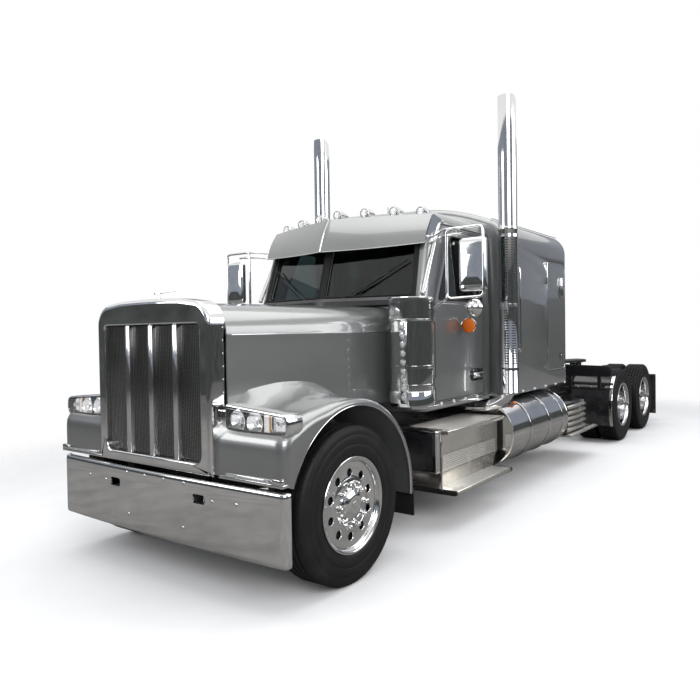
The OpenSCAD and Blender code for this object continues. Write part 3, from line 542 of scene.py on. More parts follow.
HEDGE = Finish("dark_hedge", (0.1, 0.11, 0.1), (0.05, 0.055, 0.05), 0.0, 0.9, 0.05, 0.8, bump=0.1)


# ---------------------------------------------------------------- mesh building


def arc(cx: float, cy: float, r: float, a0: float, a1: float, n: int) -> list[Pair]:
    """Points along an arc.

    Args:
        cx: Centre, first coordinate.
        cy: Centre, second coordinate.
        r: Radius.
        a0: First angle in degrees.
        a1: Last angle in degrees.
        n: How many steps.

    Returns:
        n + 1 points.
    """
    angles = [math.radians(a0 + (a1 - a0) * i / n) for i in range(n + 1)]
    return [(cx + r * math.cos(a), cy + r * math.sin(a)) for a in angles]


def rounded(corners: Sequence[Pair], radius: float | Sequence[float], n: int = 5) -> list[Pair]:
    """A closed outline with its corners rounded.

    Args:
        corners: The corners in order.
        radius: One radius, or one for each corner.
        n: Steps at each corner.

    Returns:
        The outline's points.
    """
    out: list[Pair] = []
    count = len(corners)
    for i, corner in enumerate(corners):
        r = radius[i] if isinstance(radius, Sequence) else radius
        at = Vector(corner)
        back = (Vector(corners[i - 1]) - at).normalized()
        ahead = (Vector(corners[(i + 1) % count]) - at).normalized()
        reach = r / math.tan(back.angle(ahead) / 2)
        start, end = at + back * reach, at + ahead * reach
        for k in range(n + 1):
            t = k / n
            p = start * (1 - t) ** 2 + at * (2 * t * (1 - t)) + end * t * t
            out.append((p.x, p.y))
    return out


def resample(outline: Sequence[Pair], count: int) -> list[Pair]:
    """Evenly spaced points along a closed outline.

    Args:
        outline: The outline.
        count: How many points.

    Returns:
        The new outline, which starts at the same point.
    """
    ring = [Vector(p) for p in outline] + [Vector(outline[0])]
    lengths = [0.0]
    for a, b in zip(ring, ring[1:]):
        lengths.append(lengths[-1] + (b - a).length)
    out, k = [], 0
    for i in range(count):
        target = lengths[-1] * i / count
        while lengths[k + 1] < target:
            k += 1
        t = (target - lengths[k]) / max(lengths[k + 1] - lengths[k], 1e-9)
        p = ring[k].lerp(ring[k + 1], t)
        out.append((p.x, p.y))
    return out


def smooth_path(points: Sequence[Point], steps: int = 6) -> list[Vector]:
    """A curve through the points.

    Args:
        points: What it passes through.
        steps: Points for each span.

    Returns:
        The curve's points.
    """
    p = [Vector(q) for q in points]
    p = [p[0] * 2 - p[1], *p, p[-1] * 2 - p[-2]]
    out = []
    for i in range(1, len(p) - 2):
        for k in range(steps):
            t = k / steps
            a = p[i] * 2 + (p[i + 1] - p[i - 1]) * t
            b = (p[i - 1] * 2 - p[i] * 5 + p[i + 1] * 4 - p[i + 2]) * t * t
            out.append((a + b + (p[i] * 3 - p[i - 1] - p[i + 1] * 3 + p[i + 2]) * t**3) / 2)
    return [*out, p[-2]]


class Along(Enum):
    """Which axis an outline is drawn out along, and how its two coordinates turn into a point."""

    X = "x"
    Y = "y"
    Z = "z"

    def point(self, u: float, v: float, at: float) -> Vector:
        """The point at outline coordinates u and v, at a place along the axis."""
        return {"x": Vector((at, u, v)), "y": Vector((u, at, v)), "z": Vector((u, v, at))}[self.value]


class Form:
    """A mesh under construction, whose faces carry their own finish."""

    def __init__(self, name: str) -> None:
        """Starts an empty mesh."""
        self.name = name
        self.bm = bmesh.new()
        self.finishes: list[Finish] = []

    def index(self, finish: Finish) -> int:
        """The slot of a finish, added if it is new."""
        if finish not in self.finishes:
            self.finishes.append(finish)
        return self.finishes.index(finish)

    def loft(self, rings: Sequence[Sequence[Vector]], finish: Finish, closed: bool = True,
            caps: bool = True, loop: bool = False) -> list[bmesh.types.BMFace]:
        """Skins a row of rings that have as many points each.

        Args:
            rings: The rings.
            finish: Finish of the skin.
            closed: Whether each ring is closed.
            caps: Whether the two end rings are filled.
            loop: Whether the last ring joins the first.

        Returns:
            The new faces.
        """
        rows = [[self.bm.verts.new(p) for p in ring] for ring in rings]
        pairs = list(zip(rows, rows[1:])) + ([(rows[-1], rows[0])] if loop else [])
        width = len(rows[0])
        faces = []
        for a, b in pairs:
            for i in range(width if closed else width - 1):
                j = (i + 1) % width
                faces.append(self.bm.faces.new((a[i], a[j], b[j], b[i])))
        if caps and closed and not loop:
            faces += [self.bm.faces.new(rows[0][::-1]), self.bm.faces.new(rows[-1])]
        for face in faces:
            face.material_index = self.index(finish)
        return faces

    def lathe(self, profile: Sequence[Pair], centre: Point, along: Along, finish: Finish, n: int = 48,
            close: bool = False) -> list[bmesh.types.BMFace]:
        """Turns a profile of (place along the axis, radius) round an axis.

        Args:
            profile: The profile.
            centre: A point on the axis, where the profile's places start.
            along: The axis.
            finish: Finish of the surface.
            n: Steps round.
            close: Whether the profile is a closed loop.

        Returns:
            The new faces.
        """
        rings = []
        for at, r in profile:
            ring = arc(0, 0, max(r, 1e-5), 0, 360 - 360 / n, n - 1)
            rings.append([along.point(u, v, at) + Vector(centre) for u, v in ring])
        return self.loft(rings, finish, caps=not close, loop=close)

    def prism(self, outline: Sequence[Pair], along: Along, at0: float, at1: float, finish: Finish,
            bevel: float = 0.0, steps: int = 2) -> list[bmesh.types.BMFace]:
        """Draws an outline out along an axis, with its two edges rounded.

        Args:
            outline: The outline.
            along: The axis.
            at0: Where it starts.
            at1: Where it ends.
            finish: Finish of the surface.
            bevel: Radius of the rounded edges.
            steps: Steps in a rounded edge.

        Returns:
            The new faces.
        """
        lap = [(bevel * (1 - math.sin(a)), bevel * (1 - math.cos(a))) for a in
            (math.pi / 2 * k / steps for k in range(steps + 1))] if bevel else [(0.0, 0.0)]
        sign = 1 if at1 > at0 else -1
        rings = [(inset_outline(outline, lap[-1 - k][0]), at0 + sign * lap[-1 - k][1]) for k in
            range(len(lap))][::-1]
        rings += [(inset_outline(outline, i), at1 - sign * d) for i, d in lap[::-1]]
        return self.loft([[along.point(u, v, at) for u, v in ring] for ring, at in rings], finish)

    def slab(self, low: Point, high: Point, finish: Finish, bevel: float = 0.003,
            steps: int = 2) -> list[bmesh.types.BMFace]:
        """A block with rounded edges.

        Args:
            low: Lowest corner.
            high: Highest corner.
            finish: Finish of the surface.
            bevel: Radius of its edges.
            steps: Steps in a rounded edge.

        Returns:
            The new faces.
        """
        lo, hi = Vector(low), Vector(high)
        size = hi - lo
        made = bmesh.ops.create_cube(self.bm, size=1.0)
        bmesh.ops.scale(self.bm, vec=size, verts=made["verts"])
        bmesh.ops.translate(self.bm, vec=(lo + hi) / 2, verts=made["verts"])
        edges = list({e for v in made["verts"] for e in v.link_edges})
        radius = min(bevel, min(size) * 0.45)
        before = {f for v in made["verts"] for f in v.link_faces}
        done = bmesh.ops.bevel(self.bm, geom=edges, offset=radius, segments=steps, profile=0.5,
            affect="EDGES")
        faces = [f for f in set(done["faces"]) | before if f.is_valid]
        for face in faces:
            face.material_index = self.index(finish)
        return faces

    def tube(self, path: Sequence[Point | Vector], radius: float, finish: Finish, sides: int = 12,
            flat: float = 1.0, loop: bool = False) -> list[bmesh.types.BMFace]:
        """A round bar along a path.

        Args:
            path: The path.
            radius: Its radius.
            finish: Finish of the surface.
            sides: Steps round.
            flat: Height of the section as a share of its width.
            loop: Whether the path is closed.

        Returns:
            The new faces.
        """
        p = [Vector(q) for q in path]
        count = len(p)
        rings, normal = [], None
        for i in range(count):
            ahead = p[(i + 1) % count] if loop or i + 1 < count else p[i]
            back = p[i - 1] if loop or i else p[i]
            run = (ahead - back).normalized()
            if normal is None:
                normal = run.cross(Vector((0, 0, 1)) if abs(run.z) < 0.9 else
                    Vector((0, 1, 0))).normalized()
            normal = (normal - run * normal.dot(run)).normalized()
            side = run.cross(normal)
            ring = arc(0, 0, radius, 0, 360 - 360 / sides, sides - 1)
            rings.append([p[i] + normal * u + side * (v * flat) for u, v in ring])
        return self.loft(rings, finish, caps=not loop, loop=loop)

    def ball(self, centre: Point, radius: Point, finish: Finish, n: int = 16) -> None:
        """An ellipsoid.

        Args:
            centre: Its centre.
            radius: Its three radii.
            finish: Finish of the surface.
            n: Steps round.
        """
        made = bmesh.ops.create_uvsphere(self.bm, u_segments=n, v_segments=max(6, n // 2), radius=1.0)
        bmesh.ops.scale(self.bm, vec=radius, verts=made["verts"])
        bmesh.ops.translate(self.bm, vec=centre, verts=made["verts"])
        for face in {f for v in made["verts"] for f in v.link_faces}:
            face.material_index = self.index(finish)

    def mirrored(self) -> "Form":
        """Adds the same again on the other side of Y = 0."""
        made = bmesh.ops.duplicate(self.bm, geom=self.bm.verts[:] + self.bm.edges[:] + self.bm.faces[:])
        verts = [g for g in made["geom"] if isinstance(g, bmesh.types.BMVert)]
        bmesh.ops.scale(self.bm, vec=(1, -1, 1), verts=verts)
        bmesh.ops.reverse_faces(self.bm,
            faces=[g for g in made["geom"] if isinstance(g, bmesh.types.BMFace)])
        return self

    def moved(self, matrix: Matrix) -> "Form":
        """Moves the whole mesh by a matrix."""
        self.bm.transform(matrix)
        return self

    def mesh(self, sharp: float = 32.0) -> bpy.types.Object:
        """Ends the mesh as an object with no body yet.

        Args:
            sharp: Edges steeper than this many degrees stay sharp.

        Returns:
            The object.
        """
        bmesh.ops.remove_doubles(self.bm, verts=self.bm.verts, dist=2e-6)
        bmesh.ops.recalc_face_normals(self.bm, faces=self.bm.faces)
        data = bpy.data.meshes.new(self.name)
        self.bm.to_mesh(data)
        self.bm.free()
        data.shade_smooth()
        data.set_sharp_from_angle(angle=math.radians(sharp))
        for finish in self.finishes:
            data.materials.append(finish.material())
        piece = bpy.data.objects.new(self.name, data)
        bpy.context.scene.collection.objects.link(piece)
        return piece

    def piece(self, body: str, slot: str, *replaced: str, sharp: float = 32.0) -> bpy.types.Object:
        """Ends the mesh as a piece of the object.

        Args:
            body: The body that it rides on.
            slot: The record's material slot.
            replaced: The CAD nodes that it stands for.
            sharp: Edges steeper than this many degrees stay sharp.

        Returns:
            The piece.
        """
        return settle(self.mesh(sharp), body, slot, *replaced)


def inset_outline(outline: Sequence[Pair], inset: float) -> list[Pair]:
    """The outline drawn in towards its middle.

    Args:
        outline: A closed outline.
        inset: How far.

    Returns:
        The new outline.
    """
    if not inset:
        return list(outline)
    out = []
    count = len(outline)
    area = sum(outline[i - 1][0] * outline[i][1] - outline[i][0] * outline[i - 1][1] for i in range(count))
    turn = 1 if area > 0 else -1
    for i, point in enumerate(outline):
        back, ahead = Vector(outline[i - 1]), Vector(outline[(i + 1) % count])
        run = (ahead - back).normalized()
        out.append((point[0] - run.y * inset * turn, point[1] + run.x * inset * turn))
    return out


def settle(piece: bpy.types.Object, body: str, slot: str, *replaced: str) -> bpy.types.Object:
    """Parents a finished object to its body and hides the CAD nodes that it stands for.

    Args:
        piece: The object.
        body: The body that it rides on.
        slot: Not used.
        replaced: The CAD nodes that it stands for.

    Returns:
        The piece.
    """
    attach(piece, body)
    if replaced:
        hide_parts(*replaced)
    log.info("%s: %d faces", piece.name, len(piece.data.polygons))
    return piece


def carve(target: bpy.types.Object, cutters: Sequence[bpy.types.Object],
        operation: str = "DIFFERENCE") -> bpy.types.Object:
    """Cuts objects out of another and removes them.

    Args:
        target: What is cut.
        cutters: What cuts it.
        operation: The Boolean's operation.

    Returns:
        The target with its new mesh.
    """
    for cutter in cutters:
        shape = bmesh.new()
        shape.from_mesh(cutter.data)
        bmesh.ops.recalc_face_normals(shape, faces=shape.faces)
        shape.to_mesh(cutter.data)
        shape.free()
        cut = target.modifiers.new("cut", "BOOLEAN")
        cut.operation, cut.object, cut.solver, cut.use_self = operation, cutter, "EXACT", True
    graph = bpy.context.evaluated_depsgraph_get()
    data = bpy.data.meshes.new_from_object(target.evaluated_get(graph))
    target.modifiers.clear()
    old, target.data = target.data, data
    data.name = target.name
    bpy.data.meshes.remove(old)
    for cutter in cutters:
        shape = cutter.data
        bpy.data.objects.remove(cutter)
        bpy.data.meshes.remove(shape)
    return target


def bevelled(piece: bpy.types.Object, width: float, steps: int = 2,
        angle: float = 32.0) -> bpy.types.Object:
    """Rounds an object's sharp edges and shades it smooth.

    Args:
        piece: The object.
        width: Radius of the rounding.
        steps: Steps in a rounded edge.
        angle: Edges steeper than this many degrees are rounded.

    Returns:
        The same object.
    """
    modifier = piece.modifiers.new("edges", "BEVEL")
    modifier.width, modifier.segments, modifier.angle_limit = width, steps, math.radians(angle)
    modifier.limit_method, modifier.use_clamp_overlap = "ANGLE", True
    modifier.harden_normals = False
    carve(piece, ())
    piece.data.shade_smooth()
    piece.data.set_sharp_from_angle(angle=math.radians(angle))
    return piece


def dress(node: str, finish: Finish) -> None:
    """Gives a CAD node that stays a better material.

    Args:
        node: The node.
        finish: Its finish.
    """
    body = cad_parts[node]
    for slot in body.material_slots:
        slot.material = finish.material()


class Pattern:
    """A Geometry Nodes tree that sets copies of a template on points, each turned as its point says."""

    def __init__(self) -> None:
        """Builds the tree."""
        tree = self.tree = bpy.data.node_groups.new("pattern", "GeometryNodeTree")
        face = tree.interface
        face.new_socket("Points", in_out="INPUT", socket_type="NodeSocketGeometry")
        self.inputs = {}
        for name, kind in (("Template", "Object"), ("Size", "Float"), ("Spread", "Float"), ("Seed", "Int"),
                ("Finish", "Material")):
            self.inputs[name] = face.new_socket(name, in_out="INPUT",
                socket_type=f"NodeSocket{kind}").identifier
        face.new_socket("Shapes", in_out="OUTPUT", socket_type="NodeSocketGeometry")
        new, link = tree.nodes.new, tree.links.new
        source, end = new("NodeGroupInput"), new("NodeGroupOutput")
        shape, turn = new("GeometryNodeObjectInfo"), new("GeometryNodeInputNamedAttribute")
        turn.data_type = "FLOAT_VECTOR"
        turn.inputs["Name"].default_value = "turn"
        spin, copies = new("FunctionNodeEulerToRotation"), new("GeometryNodeInstanceOnPoints")
        vary, low, high = new("FunctionNodeRandomValue"), new("ShaderNodeMath"), new("ShaderNodeMath")
        low.operation, high.operation = "SUBTRACT", "ADD"
        real, paint = new("GeometryNodeRealizeInstances"), new("GeometryNodeSetMaterial")
        link(source.outputs["Template"], shape.inputs["Object"])
        for node in (low, high):
            link(source.outputs["Size"], node.inputs[0])
            link(source.outputs["Spread"], node.inputs[1])
        link(low.outputs[0], vary.inputs[2])
        link(high.outputs[0], vary.inputs[3])
        link(source.outputs["Seed"], vary.inputs["Seed"])
        link(turn.outputs["Attribute"], spin.inputs[0])
        link(source.outputs["Points"], copies.inputs["Points"])
        link(shape.outputs["Geometry"], copies.inputs["Instance"])
        link(spin.outputs[0], copies.inputs["Rotation"])
        link(vary.outputs[1], copies.inputs["Scale"])
        link(copies.outputs[0], real.inputs[0])
        link(real.outputs[0], paint.inputs["Geometry"])
        link(source.outputs["Finish"], paint.inputs["Material"])
        link(paint.outputs[0], end.inputs[0])

    def lay(self, name: str, shape: Form, places: Sequence[tuple[Sequence[float], Sequence[float]]],
            finish: Finish, sharp: float = 32.0, spread: float = 0.0) -> bpy.types.Object:
        """Sets copies of a shape on places.

        Args:
            name: Name of the result.
            shape: The template, made about the origin.
            places: For each copy its point and its turn about X, Y and Z in radians.
            finish: Finish of all copies.
            sharp: Edges steeper than this many degrees stay sharp.
            spread: How much the copies differ in size.

        Returns:
            An object with no body yet.
        """
        template = shape.mesh(sharp)
        dots = bpy.data.meshes.new(name + "_points")
        dots.from_pydata([tuple(p) for p, _ in places], [], [])
        turn = dots.attributes.new("turn", "FLOAT_VECTOR", "POINT")
        turn.data.foreach_set("vector", [c for _, t in places for c in t])
        maker = bpy.data.objects.new(name + "_maker", dots)
        bpy.context.scene.collection.objects.link(maker)
        modifier = maker.modifiers.new("pattern", "NODES")
        modifier.node_group = self.tree
        for key, value in (("Template", template), ("Size", 1.0), ("Spread", spread), ("Seed", 7),
                ("Finish", finish.material())):
            modifier[self.inputs[key]] = value
        graph = bpy.context.evaluated_depsgraph_get()
        data = bpy.data.meshes.new_from_object(maker.evaluated_get(graph))
        data.name = name
        piece = bpy.data.objects.new(name, data)
        bpy.context.scene.collection.objects.link(piece)
        for spare in (maker, template):
            mesh = spare.data
            bpy.data.objects.remove(spare)
            bpy.data.meshes.remove(mesh)
        return piece


PATTERN = Pattern()


def both_sides(places: Sequence[tuple[Sequence[float], Sequence[float]]]) -> list:
    """The places and their mirror images across Y = 0."""
    return [*places, *(((p[0], -p[1], p[2]), (-t[0], t[1], -t[2])) for p, t in places)]


def dome(name: str, radius: float, height: float, finish: Finish, n: int = 16) -> Form:
    """A low dome on the plane X = 0, facing +X.

    Args:
        name: Its name.
        radius: Its radius.
        height: Its height.
        finish: Its finish.
        n: Steps round.

    Returns:
        The form.
    """
    form = Form(name)
    profile = [(height * math.sin(a), radius * math.cos(a)) for a in
        (math.pi / 2 * k / 4 for k in range(4))]
    form.lathe([(-0.001, radius), *profile, (height, radius * 0.12)], (0, 0, 0), Along.X, finish, n)
    return form


# ---------------------------------------------------------------- hood and front


@dataclass
class Hood:
    """The tilting nose: one hood shell and two fenders swept round the wheel arches."""

    top: float = 1.905
    rise: float = 0.018
    shoulder: float = 0.19
    crown: float = 0.028
    skirt: float = 1.1
    wall: float = 0.01
    stations: int = 26
    half: Pair = (0.63, 0.75)
    rear: Pair = (-1.06, 0.2083)
    arch_x: float = -0.02
    arch_r: float = 0.662
    band: float = 0.048
    fender_half: float = 1.19
    front: float = field(default=0.6)

    def section(self, s: float, inset: float) -> list[Vector]:
        """Half of the hood's cross-section, from the centre down one side.

        Args:
            s: 0 at the grille and 1 at the windshield.
            inset: How far inside the skin it lies.

        Returns:
            Its points, which lie on the swept rear edge where s is 1.
        """
        w = self.half[0] + (self.half[1] - self.half[0]) * s - inset
        t = self.top + self.rise * s - inset
        r = self.shoulder
        drop = t - self.crown - r
        top_y = w - r + r * math.cos(math.radians(78))
        top_z = drop + r * math.sin(math.radians(78))
        outline = [(top_y * k / 6, t - (t - top_z) * (k / 6) ** 2 + 0.006 * math.exp(-((k / 1.2) ** 2))) for
            k in range(6)]
        outline += arc(w - r, drop, r, 78, 0, 8)
        outline += [(w + 0.004 * math.exp(-(((z - 1.68) / 0.02) ** 2)), z) for z in
            (1.69, 1.68, 1.67, 1.6, 1.45, 1.3)]
        outline += [(w, self.skirt)]
        points = []
        for y, z in outline:
            end = self.rear[0] - self.rear[1] * y
            points.append(Vector((ax(self.front + (end - self.front) * s), y, z)))
        return points

    def shell(self) -> Form:
        """The hood with its wall thickness."""
        form = Form("hood_skin")
        rings = []
        for k in range(self.stations):
            s = k / (self.stations - 1)
            outer, inner = self.section(s, 0), self.section(s, self.wall)
            left = [Vector((p.x, -p.y, p.z)) for p in outer[:0:-1]]
            back = [Vector((p.x, -p.y, p.z)) for p in inner[1:]]
            rings.append(left + outer + inner[:0:-1] + [inner[0]] + back)
        form.loft(rings, PAINT)
        return form

    def profile(self) -> list[Vector]:
        """The fender's outer outline in the XZ plane, front to rear."""
        outer = self.arch_r + self.band
        line = [(0.69, 0.8), (0.69, 0.96), *arc(0.57, 1.0, 0.12, -10, 50, 5), (0.5, 1.166), (0.42, 1.196),
            (0.33, 1.215), (0.24, 1.229), (0.16, 1.24), (0.08, 1.244)]
        line += arc(self.arch_x, AXLE_Z, outer, 88, 186, 34)
        return [Vector(p) for p in line]

    def reach(self, angle: float) -> float:
        """How far the fender's skin lies from the arch centre.

        Args:
            angle: Direction in degrees, 0 ahead and 90 up.

        Returns:
            The distance.
        """
        ray = Vector((math.cos(math.radians(angle)), math.sin(math.radians(angle))))
        centre = Vector((self.arch_x, AXLE_Z))
        line = self.profile()
        best = 0.0
        for a, b in zip(line, line[1:]):
            edge = b - a
            cross = ray.x * edge.y - ray.y * edge.x
            if abs(cross) < 1e-9:
                continue
            gap = a - centre
            t = (gap.x * edge.y - gap.y * edge.x) / cross
            u = (gap.x * ray.y - gap.y * ray.x) / cross
            if -1e-6 <= u <= 1.000001 and t > best:
                best = t
        return best or self.arch_r + self.band

    def fender_ring(self, angle: float) -> list[Vector]:
        """The fender's closed section in one radial plane.

        Args:
            angle: The plane's direction in degrees.

        Returns:
            The ring's points.
        """
        out, low = self.reach(angle), self.arch_r
        half = self.fender_half
        blend = max(0.0, min(1.0, (angle - 38) / 22)) * max(0.0, min(1.0, (152 - angle) / 25))
        ring = []
        inner_y = 0.606
        for k in range(11):
            y = inner_y + (1.08 - inner_y) * k / 10
            lift = 0.15 * max(0.0, (0.9 - y) / 0.28) ** 2.1 * blend
            ring.append((y, out + min(lift, 0.18)))
        corner = min(0.075, out - low - 0.012)
        ring += [(half - corner + corner * math.sin(a), out - corner * (1 - math.cos(a))) for a in
            (math.pi / 2 * k / 6 for k in range(7))]
        ring += [(half, low + 0.01), (half - 0.003, low + 0.003), (half - 0.01, low),
            (half - 0.022, low + 0.004), (half - 0.024, low + 0.016), (inner_y, low + 0.016)]
        c, s = math.cos(math.radians(angle)), math.sin(math.radians(angle))
        return [Vector((ax(self.arch_x + r * c), y, AXLE_Z + r * s)) for y, r in ring]

    def fender(self) -> Form:
        """The left fender."""
        form = Form("fender_skins")
        angles = [20.5 + (60 - 20.5) * k / 16 for k in range(16)] + [60 + 126 * k / 48 for k in range(49)]
        form.loft([self.fender_ring(a) for a in angles], PAINT)
        return form

    def trims(self) -> Form:
        """Bright arch lips, the crease beads, and the chrome strips with a lamp strip at the front of each
        fender.
        """
        form = Form("hood_trims")
        lip = [(ax(self.arch_x) + 0.6655 * math.cos(a), self.fender_half - 0.006,
            AXLE_Z + 0.6655 * math.sin(a)) for a in (math.radians(24 + 161 * k / 60) for k in range(61))]
        form.tube(lip, 0.0055, ALLOY, 8)
        bead = []
        for k in range(25):
            s = 0.02 + 0.96 * k / 24
            w = self.half[0] + (self.half[1] - self.half[0]) * s + 0.003
            end = self.rear[0] - self.rear[1] * w
            bead.append((ax(self.front + (end - self.front) * s), w, 1.682))
        form.tube(bead, 0.0032, ALLOY, 6)
        form.slab((ax(0.64), 0.64, 0.786), (ax(0.7), 1.188, 0.806), CHROME, 0.005)
        form.slab((ax(0.672), 0.7, 0.804), (ax(0.704), 1.1, 0.828), CHROME, 0.006)
        form.slab((ax(0.676), 1.1, 0.8), (ax(0.702), 1.186, 0.836), CHROME, 0.006)
        form.slab((ax(0.7), 0.72, 0.81), (ax(0.7065), 1.08, 0.822), CRYSTAL, 0.003)
        return form.mirrored()

    def seams(self) -> Form:
        """The black rubber seal along the hood's rear edge."""
        form = Form("hood_seals")
        edge = [p + Vector((-0.004, 0, 0)) for p in self.section(1.0, 0.004)]
        line = [Vector((p.x, -p.y, p.z)) for p in edge[:0:-1]] + edge
        form.tube(line, 0.009, SEAL, 8)
        return form

    def build(self) -> None:
        """Builds and dresses the nose."""
        self.shell().piece("hood", "paint", "hood_shell", sharp=28)
        self.fender().mirrored().piece("hood", "paint", "fenders", sharp=36)
        self.trims().piece("hood", "chrome")
        self.seams().piece("hood", "rubber")
        bump = dome("bump", 0.011, 0.007, ALLOY, 12)
        rows = []
        for k in range(8):
            rows.append(((ax(-1.145), 0.752, 1.2 + 0.075 * k), (0.0, 0.0, math.pi / 2)))
        settle(PATTERN.lay("hood_edge_studs", bump, both_sides(rows), ALLOY), "hood", "chrome")
        strip = Form("fender_strips")
        strip.slab((ax(-0.735), 0.62, 0.29), (ax(-0.722), 1.185, 0.5), SEAL, 0.004)
        strip.slab((ax(-0.724), 0.62, 0.46), (ax(-0.7), 1.188, 0.5), SEAL, 0.006)
        strip.mirrored().piece("hood", "rubber")


@dataclass
class Grille:
    """The chrome surround with its wire screen, three bars and the ornament on top."""

    half: float = 0.61
    low: float = 0.79
    top: float = 1.93
    corner: float = 0.15
    opening: tuple[float, float, float] = (0.52, 0.865, 1.757)
    back: float = 0.6
    face: float = 0.735
    bars: tuple[float, ...] = (-0.26, 0.0, 0.26)

    def outer(self) -> list[Pair]:
        """The surround's outline."""
        half, r, top = self.half, self.corner, self.top
        right = [(half, self.low), *arc(half - r, top - 0.025 - r, r, 0, 80, 10)]
        crown = [(half * 0.7 * (1 - k / 4), top - 0.021 * (0.75 * (1 - k / 4)) ** 2) for k in range(1, 5)]
        line = right + crown
        return line + [(-y, z) for y, z in line[-2::-1]]

    def hole(self) -> list[Pair]:
        """The opening's outline, from the same corner."""
        half, low, top = self.opening
        return rounded([(half, low), (half, top), (-half, top), (-half, low)], (0.07, 0.03, 0.03, 0.07), 6)

    def surround(self) -> Form:
        """The rounded frame."""
        form = Form("surround_frame")
        n = 220
        outer, hole = resample(self.outer(), n), resample(self.hole(), n)
        back, face = ax(self.back), ax(self.face)
        rings = [(outer, back, 0.0)]
        soft = 0.03
        for k in range(7):
            a = math.pi / 2 * k / 6
            rings.append((outer, face - soft + soft * math.sin(a), soft * (1 - math.cos(a))))
        rings += [(outer, face, soft + 0.004), (hole, face, -0.016)]
        for k in range(5):
            a = math.pi / 2 * (1 - k / 4)
            rings.append((hole, face - 0.012 + 0.012 * math.sin(a), -0.012 * (1 - math.cos(a))))
        rings += [(hole, face - 0.06, 0.0), (hole, back, 0.0)]
        form.loft([[Vector((x, y, z)) for y, z in inset_outline(line, i)] for line, x, i in rings], CHROME,
            loop=True)
        return form

    def arms(self, form: Form) -> None:
        """Adds the two hinge arms that carry the nose.

        Args:
            form: What they are added to.
        """
        x, z = 0.63, 0.6
        plate = [(x + 0.008, z - 0.018), (x - 0.195, z + 0.05), (x - 0.222, z + 0.07),
            (x - 0.222, z + 0.262), (x - 0.03, z + 0.262), (x - 0.03, z + 0.215), (x - 0.18, z + 0.215),
            (x - 0.18, z + 0.088), (x + 0.008, z + 0.022)]
        outline = [(ax(u), v) for u, v in plate]
        for y in (-0.3, 0.3):
            form.prism(outline, Along.Y, y - 0.006, y + 0.006, CHASSIS, 0.001)
            form.lathe([(-0.0059, 0.024), (0.0059, 0.024)], (ax(x), y, z), Along.Y, CHASSIS, 24)

    def screen(self) -> Form:
        """The dark plate behind the wires and the three bright bars."""
        form = Form("grille_bars")
        half, low, top = self.opening
        outline = rounded([(half - 0.001, low + 0.001), (half - 0.001, top - 0.001),
            (-half + 0.001, top - 0.001), (-half + 0.001, low + 0.001)], (0.07, 0.03, 0.03, 0.07), 6)
        form.prism(outline, Along.X, ax(0.64), ax(0.648), CORE)
        for y in self.bars:
            section = rounded([(ax(0.672), y - 0.022), (ax(0.729), y - 0.022), (ax(0.729), y + 0.022),
                (ax(0.672), y + 0.022)], (0.002, 0.016, 0.016, 0.002), 5)
            form.prism(section, Along.Z, low + 0.002, top - 0.006, ALLOY, 0.002)
            form.ball((ax(0.706), y, top - 0.012), (0.022, 0.021, 0.016), CHROME)
        return form

    def wires(self) -> None:
        """The wire screen, laid as a pattern of thin rods."""
        half, low, top = self.opening
        place = ax(0.69)
        bar = Form("wire_v")
        bar.slab((-0.0011, -0.0011, -(top - low) / 2), (0.0011, 0.0011, (top - low) / 2), MESH_WIRE, 0.0004,
            1)
        columns = [((place, y, (low + top) / 2), (0, 0, 0)) for y in
            (-half + 0.01 + 0.0172 * k for k in range(60)) if y < half - 0.004]
        settle(PATTERN.lay("grille_wires_upright", bar, columns, MESH_WIRE), "hood", "frame_black")
        rod = Form("wire_h")
        rod.slab((-0.001, -half + 0.002, -0.001), (0.001, half - 0.002, 0.001), MESH_WIRE, 0.0004, 1)
        rows = [((place + 0.0018, 0, z), (0, 0, 0)) for z in (low + 0.012 + 0.0086 * k for k in range(110))
            if z < top - 0.004]
        settle(PATTERN.lay("grille_wires_across", rod, rows, MESH_WIRE), "hood", "frame_black")

    def ornament(self) -> Form:
        """A small swept blade on a post, at the front of the hood."""
        form = Form("nose_ornament")
        base = self.top
        form.lathe([(-0.006, 0.026), (0.004, 0.024), (0.01, 0.012), (0.03, 0.008), (0.04, 0.007)],
            (ax(0.64), 0, base), Along.Z, CHROME, 20)
        rings = []
        for k in range(9):
            t = k / 8
            x, z = ax(0.672 - 0.19 * t), base + 0.04 + 0.03 * t
            w, h = 0.012 * math.sin(math.pi * (0.12 + 0.8 * t)) + 0.002, 0.008 * (1 - 0.7 * t) + 0.001
            rings.append([Vector((x, w * math.cos(a), z + h * math.sin(a))) for a in
                (2 * math.pi * i / 12 for i in range(12))])
        form.loft(rings, CHROME)
        return form

    def build(self) -> None:
        """Builds and dresses the grille."""
        frame_form = self.surround()
        self.arms(frame_form)
        frame_form.piece("hood", "chrome", "grille_surround", sharp=35)
        self.screen().piece("hood", "polished", "grille_screen")
        self.wires()
        self.ornament().piece("hood", "chrome")
        stud = dome("stud", 0.0065, 0.004, CHROME, 12)
        rows = [((ax(self.back + 0.016), self.half + 0.0002, 0.9 + 0.083 * k), (0.0, 0.0, math.pi / 2)) for
            k in range(11)]
        settle(PATTERN.lay("surround_studs", stud, both_sides(rows), CHROME), "hood", "chrome")


